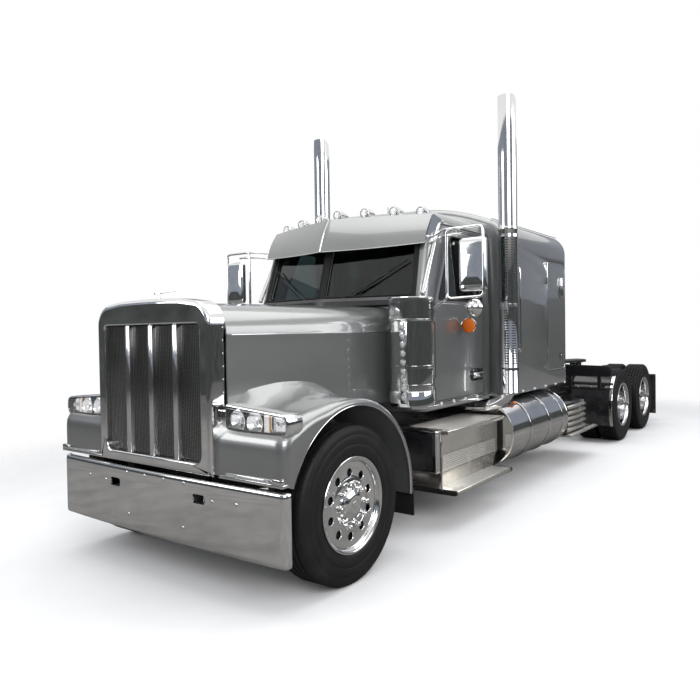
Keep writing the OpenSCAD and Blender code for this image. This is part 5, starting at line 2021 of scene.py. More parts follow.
@dataclass
class Steps:
    """The cab step boxes, the low steps and the tool boxes with their slats."""

    x: Pair = (1.565, 2.765)
    low_front: float = 2.725
    tool: Pair = (-0.91, -0.21)

    def boxes(self) -> Form:
        """The step boxes with rounded dark front ends, and the low steps on hangers."""
        form = Form("step_box_shells")
        x0, x1 = self.x
        section = rounded([(0.431, 0.472), (1.06, 0.472), (1.06, 0.8), (1.138, 0.806), (1.138, 0.842),
            (0.431, 0.842)], (0.004, 0.03, 0.01, 0.006, 0.01, 0.004), 5)
        form.prism(section, Along.X, x0, x1 - 0.06, MILL, 0.004)
        nose = rounded([(0.431, 0.472), (1.06, 0.472), (1.06, 0.842), (0.431, 0.842)],
            (0.004, 0.03, 0.02, 0.004), 5)
        form.prism(nose, Along.X, x1 - 0.062, x1, ALLOY, 0.018, 4)
        form.prism(rounded([(0.5, 0.5), (1.02, 0.5), (1.02, 0.81), (0.5, 0.81)], 0.03, 4), Along.X,
            x1 - 0.02, x1 + 0.0006, GLOSS_BLACK, 0.0004, 1)
        form.slab((x0 + 0.04, 1.0585, 0.632), (x1 - 0.1, 1.0612, 0.638), GLOSS_BLACK, 0.001)
        form.slab((x0 + 0.01, 0.7, 0.842), (x1 - 0.07, 1.136, 0.8445), TREAD_ALLOY, 0.001)
        riser = [(1.02, 0.342), (1.026, 0.342), (1.052, 0.474), (1.046, 0.474)]
        form.prism(riser, Along.X, x0 + 0.03, x1 - 0.1, MILL, 0.001)
        low = rounded([(0.642, 0.302), (1.218, 0.302), (1.218, 0.343), (0.642, 0.343)],
            (0.004, 0.016, 0.012, 0.004), 4)
        form.prism(low, Along.X, x0 + 0.03, self.low_front - 0.03, MILL, 0.004)
        form.prism(low, Along.X, self.low_front - 0.032, self.low_front, SEAL, 0.008, 3)
        form.prism(low, Along.X, x0, x0 + 0.032, SEAL, 0.008, 3)
        for x in (x0 + 0.1, 2.16, x1 - 0.12):
            form.slab((x - 0.018, 0.72, 0.342), (x + 0.018, 1.03, 0.474), CHASSIS, 0.004)
        form.tube(smooth_path([(x1 - 0.012, 1.09, 0.8), (x1 - 0.004, 1.102, 0.73),
            (x1 - 0.004, 1.102, 0.56), (x1 - 0.004, 1.1, 0.38), (x1 - 0.045, 1.096, 0.338)], 5), 0.01,
            CHROME, 10)
        return form

    def tools(self) -> Form:
        """The tool boxes and their low steps."""
        form = Form("tool_box_shells")
        x0, x1 = self.tool
        section = rounded([(0.431, 0.402), (1.146, 0.402), (1.146, 0.778), (0.431, 0.778)],
            (0.004, 0.02, 0.02, 0.004), 4)
        form.prism(section, Along.X, x0, x1, GLOSS_BLACK, 0.006)
        step = rounded([(0.622, 0.372), (1.203, 0.372), (1.203, 0.4), (0.622, 0.4)],
            (0.004, 0.012, 0.008, 0.004), 4)
        form.prism(step, Along.X, x0 - 0.378, x1 - 0.002, MILL, 0.004)
        form.slab((x0 - 0.298, 0.431, 0.702), (x0 + 0.001, 0.558, 0.878), CHASSIS, 0.006)
        form.slab((x0 - 0.298, 0.541, 0.401), (x0 - 0.272, 0.638, 0.718), CHASSIS, 0.004)
        for z in (0.448, 0.516, 0.584, 0.652, 0.72):
            slat = rounded([(1.144, z - 0.02), (1.169, z - 0.012), (1.169, z + 0.014), (1.144, z + 0.024)],
                (0.002, 0.008, 0.006, 0.002), 4)
            form.prism(slat, Along.X, x0 + 0.015, x1 - 0.015, MILL, 0.003)
        return form

    def ribs(self) -> None:
        """The ribs on every tread, laid as patterns."""
        top = Form("rib_long")
        x0, x1 = self.x
        half = (x1 - x0 - 0.16) / 2
        top.slab((-half, -0.0045, -0.0015), (half, 0.0045, 0.003), TREAD_ALLOY, 0.0015, 1)
        centre = (x0 + x1) / 2 - 0.03
        rows = [((centre, 0.722 + 0.02 * k, 0.8445), (0.0, 0.0, 0.0)) for k in range(21)]
        rows += [((centre - 0.01, 0.665 + 0.02 * k, 0.343), (0.0, 0.0, 0.0)) for k in range(28)]
        face = [((centre, 1.06, 0.498 + 0.016 * k), (-math.pi / 2, 0.0, 0.0)) for k in range(8)]
        settle(PATTERN.lay("step_ribs", top, both_sides(rows + face), TREAD_ALLOY), "chassis", "polished")
        rib = Form("rib_tool")
        a, b = self.tool[0] - 0.37, self.tool[1] - 0.01
        rib.slab((-(b - a) / 2, -0.0024, -0.0015), ((b - a) / 2, 0.0024, 0.0022), TREAD_ALLOY, 0.0012, 1)
        rows = [(((a + b) / 2, 1.156 + 0.0125 * k, 0.3995), (0.0, 0.0, 0.0)) for k in range(4)]
        settle(PATTERN.lay("tool_step_ribs", rib, both_sides(rows), TREAD_ALLOY), "chassis", "polished")

    def build(self) -> None:
        """Builds and dresses the steps and boxes."""
        self.boxes().mirrored().piece("chassis", "polished", "step_boxes", sharp=34)
        self.tools().mirrored().piece("chassis", "polished", "tool_boxes", sharp=34)
        self.ribs()


# ---------------------------------------------------------------- cab and sleeper


@dataclass
class Hinge:
    """One hinge: the room cut for it, and its fixed half of a pin between two ears."""

    at: Point
    r: float = 0.009
    room: float = 0.015
    reach: float = 0.06

    def cutter(self) -> bpy.types.Object:
        """What cuts the room for the knuckle."""
        x, y, z = self.at
        form = Form("hinge_room")
        form.lathe([(z - self.reach, self.room), (z + self.reach, self.room)], (x, y, 0), Along.Z, SEAL, 24)
        return form.mesh()

    def fixed(self, form: Form) -> None:
        """Adds the fixed half.

        Args:
            form: What it is added to.
        """
        x, y, z = self.at
        form.lathe([(z - 0.04, 0.003), (z - 0.039, 0.0045), (z + 0.039, 0.0045), (z + 0.04, 0.003)],
            (x, y, 0), Along.Z, STEEL, 16)
        for low in (z - 0.04, z + 0.021):
            form.lathe([(low, self.r - 0.001), (low + 0.001, self.r), (low + 0.018, self.r),
                (low + 0.019, self.r - 0.001)], (x, y, 0), Along.Z, PAINT, 20)
            form.slab((x, y - self.r, low), (x + 2 * self.room, y, low + 0.019), PAINT, 0.001, 1)


@dataclass
class Sleeper:
    """The sleeper box: a rounded shell with its door openings, trims and lamps."""

    front: float = 1.445
    back: float = -0.481
    half: float = 1.07
    floor: float = 1.0
    roof: float = 3.0
    wall: float = 0.04
    shoulder: float = 0.24
    soft: float = 0.06
    door: tuple[float, float, float, float] = (-0.405, 0.185, 1.195, 2.47)
    gap: float = 0.006
    hinges: Pair = (1.42, 2.24)

    def section(self, inset: float) -> list[Pair]:
        """The cross-section.

        Args:
            inset: How far inside the skin.

        Returns:
            The outline, counted from the floor's left corner.
        """
        r = self.shoulder
        y, z = self.half - r, self.roof - 0.41
        end_y, end_z = y + r * math.cos(math.radians(64)), z + r * math.sin(math.radians(64))
        rise = self.roof - end_z
        crown = (end_y**2 + rise**2) / (2 * rise)
        lean = math.degrees(math.asin(end_y / crown))
        right = [(self.half, self.floor + 0.03), (self.half, 1.4), (self.half, 1.8),
            (self.half, 2.2)] + arc(y, z, r, 0, 64, 12)
        top = arc(0, self.roof - crown, crown, 90 - lean, 90, 12)[1:]
        line = [(self.half - 0.03, self.floor), *right, *top]
        line += [(-u, v) for u, v in line[-2::-1]]
        return inset_outline(line, inset)

    def solid(self, name: str, wall: float) -> bpy.types.Object:
        """The box's outer or inner solid.

        Args:
            name: Its name.
            wall: How far inside the outer faces.

        Returns:
            An object.
        """
        form = Form(name)
        rings = []
        soft = self.soft if wall == 0 else self.soft - 0.03
        for side, end in ((1, self.front - wall), (-1, self.back + wall)):
            lap = [(wall + soft * (1 - math.cos(a)), soft * (1 - math.sin(a))) for a in
                (math.pi / 2 * k / 6 for k in range(7))]
            part = [[Vector((end - side * x, y, z)) for y, z in self.section(i)] for i, x in lap[::-1]]
            rings += part if side == 1 else part[::-1]
        form.loft(rings, PAINT if wall == 0 else LINING)
        return form.mesh()

    def shell(self) -> bpy.types.Object:
        """The hollow shell with its openings."""
        shell = self.solid("sleeper_skin", 0.0)
        x0, x1, z0, z1 = self.door
        g = self.gap
        outline = rounded([(x0 - g, z0 - g), (x1 + g, z0 - g), (x1 + g, z1 + g), (x0 - g, z1 + g)],
            0.06 + g, 8)
        cutters = [self.solid("sleeper_inside", self.wall)]
        for side in (-1, 1):
            hole = Form("bag_cut")
            hole.prism(outline, Along.Y, side * (self.half - 0.06), side * (self.half + 0.03), SEAL)
            cutters.append(hole.mesh())
            cutters += [Hinge((x1, side * self.half, z)).cutter() for z in self.hinges]
        walk = Form("walk_cut")
        walk.slab((self.front - self.wall - 0.02, -0.42, 1.06), (self.front + 0.02, 0.42, 2.45), LINING,
            0.05, 4)
        cutters.append(walk.mesh())
        carve(shell, cutters)
        return bevelled(shell, 0.003, 2, 40)

    def trims(self) -> Form:
        """Grab handles, door edgings, hinges and the roof crease."""
        form = Form("sleeper_trims")
        y = self.half
        for z in (1.47, 2.31):
            form.lathe([(0.0, 0.022), (0.004, 0.021), (0.008, 0.014), (0.03, 0.012)], (1.06, y, z), Along.Y,
                CHROME, 20)
        form.tube(smooth_path([(1.06, y + 0.02, 2.33), (1.06, y + 0.03, 2.3), (1.06, y + 0.032, 2.15),
            (1.06, y + 0.032, 1.65), (1.06, y + 0.03, 1.48), (1.06, y + 0.02, 1.45)], 5), 0.012, CHROME, 14)
        x0, x1, z0, z1 = self.door
        seam = rounded([(x0 - 0.003, z0 - 0.003), (x1 + 0.003, z0 - 0.003), (x1 + 0.003, z1 + 0.003),
            (x0 - 0.003, z1 + 0.003)], 0.062, 8)
        form.tube([(x, y - 0.006, z) for x, z in seam], 0.0029, SEAL, 6, loop=True)
        for z in self.hinges:
            Hinge((x1, y, z)).fixed(form)
        form.tube([(self.front - 0.03, y - 0.118, 2.812), (0.5, y - 0.118, 2.812),
            (self.back + 0.03, y - 0.118, 2.812)], 0.0045, PAINT, 8)
        back = self.back
        form.lathe([(0.002, 0.05), (-0.006, 0.052), (-0.03, 0.048), (-0.034, 0.04), (-0.03, 0.038)],
            (back, 0.62, 2.56), Along.X, CHROME, 32)
        form.lathe([(-0.028, 0.0385), (-0.034, 0.034), (-0.038, 0.018), (-0.039, 0.003)],
            (back, 0.62, 2.56), Along.X, CRYSTAL, 32)
        for z in (1.32, 2.72):
            form.tube([(back - 0.0005, 0.0, z), (back - 0.0005, 0.93, z)], 0.0035, PAINT, 8)
        form.tube([(back - 0.0005, 0.94, 1.1), (back - 0.0005, 0.94, 2.66)], 0.0035, PAINT, 8)
        form.tube(smooth_path([(back + 0.002, 0.78, 1.42), (back - 0.04, 0.78, 1.44),
            (back - 0.044, 0.78, 1.7), (back - 0.044, 0.78, 1.95), (back - 0.04, 0.78, 2.01),
            (back + 0.002, 0.78, 2.03)], 5), 0.012, CHROME, 12)
        form.tube([(self.front - 0.004, y - 0.01, 1.06), (self.front - 0.004, y - 0.01, 2.55)], 0.007, SEAL,
            8)
        return form

    def door_trims(self) -> Form:
        """What moves with a baggage door: bright edging, handle and latch."""
        form = Form("bag_door_trims")
        y = self.half
        x0, x1, z0, z1 = self.door
        ring = rounded([(x0 + 0.009, z0 + 0.009), (x1 - 0.009, z0 + 0.009), (x1 - 0.009, z1 - 0.009),
            (x0 + 0.009, z1 - 0.009)], 0.052, 8)
        form.tube([(x, y + 0.0005, z) for x, z in ring], 0.0035, ALLOY, 8, loop=True)
        # A flat black plate behind the handle paints the shade of a recess that is not cut.
        form.slab((x0 + 0.108, y - 0.004, 2.055), (x0 + 0.172, y + 0.003, 2.31), GLOSS_BLACK, 0.01, 3)
        form.slab((x0 + 0.114, y - 0.002, 2.062), (x0 + 0.166, y + 0.0315, 2.298), CHROME, 0.014, 4)
        form.slab((x0 + 0.13, y - 0.002, 1.335), (x0 + 0.185, y + 0.01, 1.395), GLOSS_BLACK, 0.008, 3)
        form.ball((x0 + 0.157, y + 0.01, 1.365), (0.012, 0.004, 0.012), CHROME, 12)
        return form

    def build(self) -> None:
        """Builds and dresses the sleeper and its doors."""
        settle(self.shell(), "chassis", "paint", "sleeper_shell")
        self.trims().mirrored().piece("chassis", "chrome")
        door = self.door_trims()
        left = door.mesh()
        right = left.copy()
        right.data = left.data.copy()
        right.data.transform(Matrix.Diagonal((1, -1, 1, 1)))
        right.data.flip_normals()
        bpy.context.scene.collection.objects.link(right)
        left.name, right.name = "left_bag_door_trims", "right_bag_door_trims"
        settle(left, "left_baggage_door", "chrome")
        settle(right, "right_baggage_door", "chrome")
        lamp = Form("sill_lamp")
        lamp.slab((-0.024, -0.002, -0.011), (0.024, 0.01, 0.011), CRYSTAL, 0.006, 3)
        rows = [((x, self.half, 1.03), (0, 0, 0)) for x in (0.93, 0.6, 0.27, -0.06, -0.38)]
        settle(PATTERN.lay("sill_lamps", lamp, both_sides(rows), CRYSTAL), "chassis", "lamp")
        base = Form("sill_lamp_base")
        base.slab((-0.031, -0.002, -0.017), (0.031, 0.004, 0.017), CHROME, 0.005, 2)
        settle(PATTERN.lay("sill_lamp_bases", base, both_sides(rows), CHROME), "chassis", "chrome")


SLEEPER = Sleeper()


@dataclass
class Cab:
    """The cab: its shell, glass seals, visor, lights, handles and pillar tubes."""

    nose: float = -1.075
    sweep: float = 0.2
    half: float = 0.96
    floor: float = 1.0
    belt: float = 1.94
    edge: float = 2.69
    roof: float = 2.77
    rake: float = 0.29
    wall: float = 0.05
    door: tuple[float, float] = (-1.46, -2.43)
    door_z: Pair = (1.06, 2.61)
    gap: float = 0.006
    hinges: Pair = (1.24, 1.8)

    def plan(self, z: float, inset: float) -> list[Vector]:
        """The cab's outline at a height.

        Args:
            z: The height.
            inset: How far inside the skin.

        Returns:
            A closed ring.
        """
        up = max(0.0, z - self.belt)
        x, w = self.nose - self.rake * up, self.half - 0.04 * up / (self.edge - self.belt)
        r = 0.09
        if z > self.edge - 0.07:
            t = (z - self.edge + 0.07) / (self.roof - self.edge + 0.07)
            draw = 0.15 * (1 - math.sqrt(max(0.0, 1 - t * t)))
            w, x, r = w - draw, x - draw, r + draw * 0.4
        rear = ax(-2.6) + inset
        if z > self.edge - 0.07:
            rear += draw * 0.6
        nose, w = ax(x) - inset, w - inset
        corner = nose - self.sweep
        line = rounded([(nose, 0.0), (corner, w), (rear, w), (rear, -w), (corner, -w)],
            (0.05, r, 0.07, 0.07, r), 9)
        return [Vector((a, b, z)) for a, b in line]

    def solid(self, name: str, inset: float) -> bpy.types.Object:
        """The cab's outer or inner solid.

        Args:
            name: Its name.
            inset: How far inside the skin.

        Returns:
            An object.
        """
        heights = [self.floor + inset, 1.4, 1.8, self.belt, 2.1, 2.3, 2.5, self.edge - 0.07]
        heights += [self.edge - 0.07 + (self.roof - self.edge + 0.07) * t for t in
            (0.3, 0.5, 0.68, 0.82, 0.92, 0.98)]
        if inset:
            heights = [z for z in heights if z < self.roof - 0.075] + [self.roof - 0.062]
        form = Form(name)
        form.loft([self.plan(z, inset) for z in heights], PAINT if not inset else LINING)
        return form.mesh()

    def door_outline(self, grow: float) -> list[Pair]:
        """The door opening seen from the side.

        Args:
            grow: How much wider than the door.

        Returns:
            The outline.
        """
        front, rear = self.door
        z0, z1 = self.door_z
        g = grow
        corners = [(front + g, z0 - g), (front + g, self.belt), (front - 0.33 + g, z1 + g),
            (rear - g, z1 + g), (rear - g, z0 - g)]
        return [(ax(x), z) for x, z in corners]

    def window_outline(self) -> list[Pair]:
        """The door's window seen from the side."""
        front, rear = self.door
        z1 = self.door_z[1]
        corners = [(front - 0.085, self.belt + 0.02), (front - 0.37, z1 - 0.07), (rear + 0.045, z1 - 0.07),
            (rear + 0.045, self.belt + 0.02)]
        return [(ax(x), z) for x, z in corners]

    def windshield_outline(self, side: int, grow: float = 0.0) -> list[Pair]:
        """One windshield pane seen from the front.

        Args:
            side: 1 for left and -1 for right.
            grow: How much larger.

        Returns:
            The outline.
        """
        z0, z1 = self.belt + 0.06 - grow, self.edge - 0.11 + grow
        corners = [(side * (0.04 - grow), z0), (side * (0.04 - grow), z1), (side * (0.81 + grow), z1),
            (side * (0.85 + grow), z0)]
        return rounded(corners, (0.02, 0.02, 0.04, 0.04), 5)

    def shell(self) -> bpy.types.Object:
        """The hollow shell with its openings."""
        shell = self.solid("cab_skin", 0.0)
        cutters = [self.solid("cab_inside", self.wall)]
        for side in (-1, 1):
            door = Form("door_cut")
            door.prism(self.door_outline(self.gap), Along.Y, side * (self.half - 0.2),
                side * (self.half + 0.05), SEAL)
            cutters.append(door.mesh())
            cutters += [Hinge((ax(self.door[0]), side * self.half, z)).cutter() for z in self.hinges]
            pane = Form("pane_cut")
            pane.prism(self.windshield_outline(side), Along.X, ax(self.nose - 0.6), ax(self.nose + 0.2),
                SEAL)
            cutters.append(pane.mesh())
        walk = Form("cab_walk_cut")
        walk.slab((ax(-2.65), -0.42, 1.06), (ax(-2.5), 0.42, 2.45), LINING, 0.05, 4)
        cutters.append(walk.mesh())
        carve(shell, cutters)
        return bevelled(shell, 0.003, 2, 40)

    def side_y(self, z: float) -> float:
        """How far the cab's side stands from the centre at a height."""
        return self.half - 0.04 * max(0.0, z - self.belt) / (self.edge - self.belt)

    def front_x(self, y: float, z: float) -> float:
        """Where the cab's front face lies at a place."""
        return ax(self.nose - self.rake * max(0.0,
            z - self.belt)) - self.sweep * abs(y) / max(self.side_y(z), 0.1)

    def seals(self) -> Form:
        """Rubber round the panes, the cowl and the wipers."""
        form = Form("windshield_seals")
        for side in (-1, 1):
            line = self.windshield_outline(side, 0.004)
            form.tube([(self.front_x(y, z) + 0.001, y, z) for y, z in line], 0.009, SEAL, 8, loop=True)
        for side in (-1, 1):
            inner, outer = self.windshield_outline(side), self.windshield_outline(side, 0.042)
            rings = [(inner, 0.0012), (inner, 0.0035), (outer, 0.0035), (outer, -0.002)]
            form.loft([[Vector((self.front_x(y, z) + lift, y, z)) for y, z in line] for line,
                lift in rings], SEAL, caps=False)
        for side in (-1, 1):
            base = (self.front_x(0.18, 1.975) + 0.012, side * 0.18, 1.962)
            tip = (self.front_x(0.62, 2.2) + 0.014, side * 0.62, 2.2)
            form.lathe([(-0.012, 0.014), (0.012, 0.012), (0.016, 0.006)], base, Along.Z, CHASSIS, 16)
            form.tube([base, ((base[0] + tip[0]) / 2 + 0.012, (base[1] + tip[1]) / 2,
                (base[2] + tip[2]) / 2), tip], 0.005, CHASSIS, 8)
            blade = [(self.front_x(y, z) + 0.008, side * y, z) for y,
                z in ((0.34, 2.02), (0.5, 2.12), (0.66, 2.23), (0.78, 2.31))]
            form.tube(blade, 0.006, SEAL, 8)
        cowl = []
        for k in range(25):
            y = -0.86 + 1.72 * k / 24
            x = self.front_x(y, 1.94)
            cowl.append([Vector((x + 0.004, y, 1.985)), Vector((x + 0.03, y, 1.958)),
                Vector((x + 0.034, y, 1.915)), Vector((x + 0.004, y, 1.9))])
        form.loft(cowl, CHASSIS, closed=True)
        return form

    def visor(self) -> Form:
        """The V-shaped sun visor with its bright crease and struts."""
        form = Form("visor_blades")
        top_z, low_z = self.edge + 0.03, self.edge - 0.28
        nose = self.nose - self.rake * (self.edge - self.belt)
        rows = []
        for k in range(21):
            t = k / 20
            y = 0.93 * t
            top = Vector((ax(nose + 0.07 - 0.28 * t), y, top_z - 0.012 * t * t))
            low = Vector((ax(nose + 0.215 - 0.28 * t), y, low_z + 0.03 * t * t))
            out = Vector((0.66, 0.18, 0.45)).normalized()
            swell = [top.lerp(low, s) + out * (0.016 * math.sin(math.pi * s)) for s in
                (i / 10 for i in range(11))]
            back = [p - out * 0.006 for p in swell[::-1]]
            rows.append((swell, back))
        left = [a + b for a, b in rows]
        mirror = [[Vector((p.x, -p.y, p.z)) for p in ring] for ring in left[:0:-1]]
        form.loft(mirror + left, PAINT)
        for side in (-1, 1):
            tri = [Vector((ax(nose - 0.21), side * 0.93, top_z - 0.012)),
                Vector((ax(nose - 0.065), side * 0.93, low_z + 0.03)),
                Vector((ax(nose - 0.38), side * 0.93, top_z - 0.05))]
            form.loft([[p + Vector((0, side * o, 0)) for p in tri] for o in (-0.004, 0.003)], ALLOY)
        crease = [(ax(nose + 0.07), 0, top_z + 0.002), (ax(nose + 0.155), 0, (top_z + low_z) / 2 + 0.008),
            (ax(nose + 0.217), 0, low_z)]
        form.tube(smooth_path(crease, 6), 0.007, CHROME, 10)
        edge = [Vector((a[10].x, a[10].y, a[10].z)) for a, _ in rows]
        line = [Vector((p.x, -p.y, p.z)) for p in edge[:0:-1]] + edge
        form.tube([p + Vector((0.001, 0, -0.001)) for p in line], 0.0048, ALLOY, 8)
        for y, back in ((0.3, 0.145), (0.8, 0.26)):
            for side in (-1, 1):
                start = (ax(nose + 0.06 - 0.28 * y / 0.93), side * y, top_z - 0.048)
                form.tube([start, (self.front_x(y, top_z - 0.05) - 0.01, side * y, top_z - 0.05)], 0.0075,
                    STEEL, 10)
        return form

    def roof_lights(self) -> Form:
        """Seven bullet lights and the whip antenna."""
        form = Form("roof_lights")
        for y in (-0.8, -0.55, -0.27, 0.0, 0.27, 0.55, 0.8):
            x = self.front_x(y, self.edge) - 0.1
            z = self.edge + 0.062 - 0.05 * (abs(y) / 0.92) ** 3
            form.lathe([(-0.12, 0.003), (-0.112, 0.014), (-0.075, 0.033), (-0.02, 0.043), (0.04, 0.046),
                (0.052, 0.045), (0.053, 0.041), (0.045, 0.039)], (x, y, z + 0.022), Along.X, CHROME, 32)
            form.lathe([(0.044, 0.0395), (0.052, 0.034), (0.056, 0.02), (0.057, 0.003)], (x, y, z + 0.022),
                Along.X, CRYSTAL, 32)
            form.slab((x - 0.065, y - 0.02, z - 0.04), (x + 0.036, y + 0.02, z - 0.008), CHROME, 0.008)
        form.lathe([(0.0, 0.018), (0.01, 0.016), (0.022, 0.007), (0.04, 0.004), (0.115, 0.0022)],
            (ax(-1.75), 0.3, self.roof - 0.008), Along.Z, GLOSS_BLACK, 14)
        return form

    def side_trims(self) -> Form:
        """Pillar tubes, door hinges, the bright rocker strip and the drip rail."""
        form = Form("cab_side_trims")
        tube = [(2.79, 0.955, 2.0), (2.76, 0.957, 2.06), (2.62, 0.944, 2.33), (2.5, 0.93, 2.54),
            (2.44, 0.916, 2.63), (2.37, 0.902, 2.66), (2.31, 0.89, 2.664)]
        form.tube(smooth_path(tube, 7), 0.021, CHROME, 16)
        for z in self.hinges:
            Hinge((ax(self.door[0]), self.half, z)).fixed(form)
        form.slab((ax(-2.6) + 0.1, 0.958, 1.015), (ax(-1.33), 0.966, 1.04), ALLOY, 0.004)
        rail = [(ax(self.nose - 0.45), self.side_y(2.64) + 0.004, 2.64),
            (ax(-2.0), self.side_y(2.64) + 0.004, 2.64), (ax(-2.56), self.side_y(2.64) + 0.002, 2.64)]
        form.tube(rail, 0.006, PAINT, 8)
        return form

    def door_trims(self) -> Form:
        """What moves with a door: window rubber, handle, lamp, seam seal and lower trim."""
        form = Form("door_trims")
        line = rounded(self.window_outline(), (0.02, 0.05, 0.05, 0.02), 6)
        form.tube([(x, self.side_y(z) + 0.001, z) for x, z in line], 0.009, SEAL, 8, loop=True)
        inner = self.door_outline(-0.012)
        form.tube([(x, self.side_y(z) - 0.0005, z) for x, z in rounded(inner, 0.015, 4)], 0.0032, SEAL, 6,
            loop=True)
        rear = ax(self.door[1])
        # A flat black plate behind the handle paints the shade of a recess that is not cut.
        form.prism(rounded([(rear + 0.03, 1.198), (rear + 0.3, 1.198), (rear + 0.3, 1.318),
            (rear + 0.03, 1.318)], 0.045, 6), Along.Y, self.half - 0.004, self.half + 0.003, GLOSS_BLACK,
            0.002)
        form.prism(rounded([(rear + 0.05, 1.228), (rear + 0.27, 1.228), (rear + 0.27, 1.281),
            (rear + 0.05, 1.281)], 0.024, 5), Along.Y, self.half - 0.002, self.half + 0.0385, CHROME, 0.014,
            4)
        form.lathe([(-0.052, 0.004), (-0.048, 0.03), (-0.036, 0.056), (-0.018, 0.07), (0.004, 0.074),
            (0.012, 0.073), (0.014, 0.068), (0.008, 0.066)], (2.1, 1.04, 1.729), Along.X, CHROME, 40)
        form.lathe([(0.008, 0.0665), (0.018, 0.06), (0.026, 0.04), (0.029, 0.004)], (2.1, 1.04, 1.729),
            Along.X, AMBER, 40)
        form.tube([(2.085, 1.03, 1.735), (2.08, 0.99, 1.735), (2.078, 0.958, 1.735)], 0.016, CHROME, 16)
        form.lathe([(0.0, 0.034), (0.005, 0.033), (0.008, 0.024)], (2.078, self.half - 0.002, 1.735),
            Along.Y, CHROME, 28)
        form.tube([(ax(self.door[0]) - 0.02, self.half + 0.001, 1.925),
            (rear + 0.02, self.half + 0.001, 1.925)], 0.0035, ALLOY, 8)
        for z in self.hinges:
            form.lathe([(z - 0.0195, 0.006), (z - 0.019, 0.0095), (z + 0.019, 0.0095), (z + 0.0195, 0.006)],
                (ax(self.door[0]), self.half, 0), Along.Z, PAINT, 16, close=True)
        return form

    def build(self) -> None:
        """Builds and dresses the cab."""
        settle(self.shell(), "chassis", "paint", "cab_shell")
        self.seals().piece("chassis", "rubber")
        self.visor().piece("chassis", "paint", "sun_visor", sharp=30)
        self.roof_lights().piece("chassis", "chrome", sharp=36)
        self.side_trims().mirrored().piece("chassis", "chrome")
        left = self.door_trims().mesh()
        right = left.copy()
        right.data = left.data.copy()
        right.data.transform(Matrix.Diagonal((1, -1, 1, 1)))
        right.data.flip_normals()
        bpy.context.scene.collection.objects.link(right)
        left.name, right.name = "left_door_trims", "right_door_trims"
        settle(left, "left_door", "chrome")
        settle(right, "right_door", "chrome")
        for node in ("left_door", "right_door", "left_baggage_door", "right_baggage_door"):
            dress(node, PAINT)
        for node in ("windshield", "left_door_glass", "right_door_glass"):
            dress(node, WINDOW)
        lamp = dome("rocker_lamp", 0.02, 0.014, CRYSTAL, 18)
        rows = [((x, self.half, 1.042), (0.0, 0.0, math.pi / 2)) for x in (2.5, 2.27, 2.04, 1.8)]
        settle(PATTERN.lay("rocker_lamps", lamp, both_sides(rows), CRYSTAL), "chassis", "lamp")


# ---------------------------------------------------------------- rear of the chassis


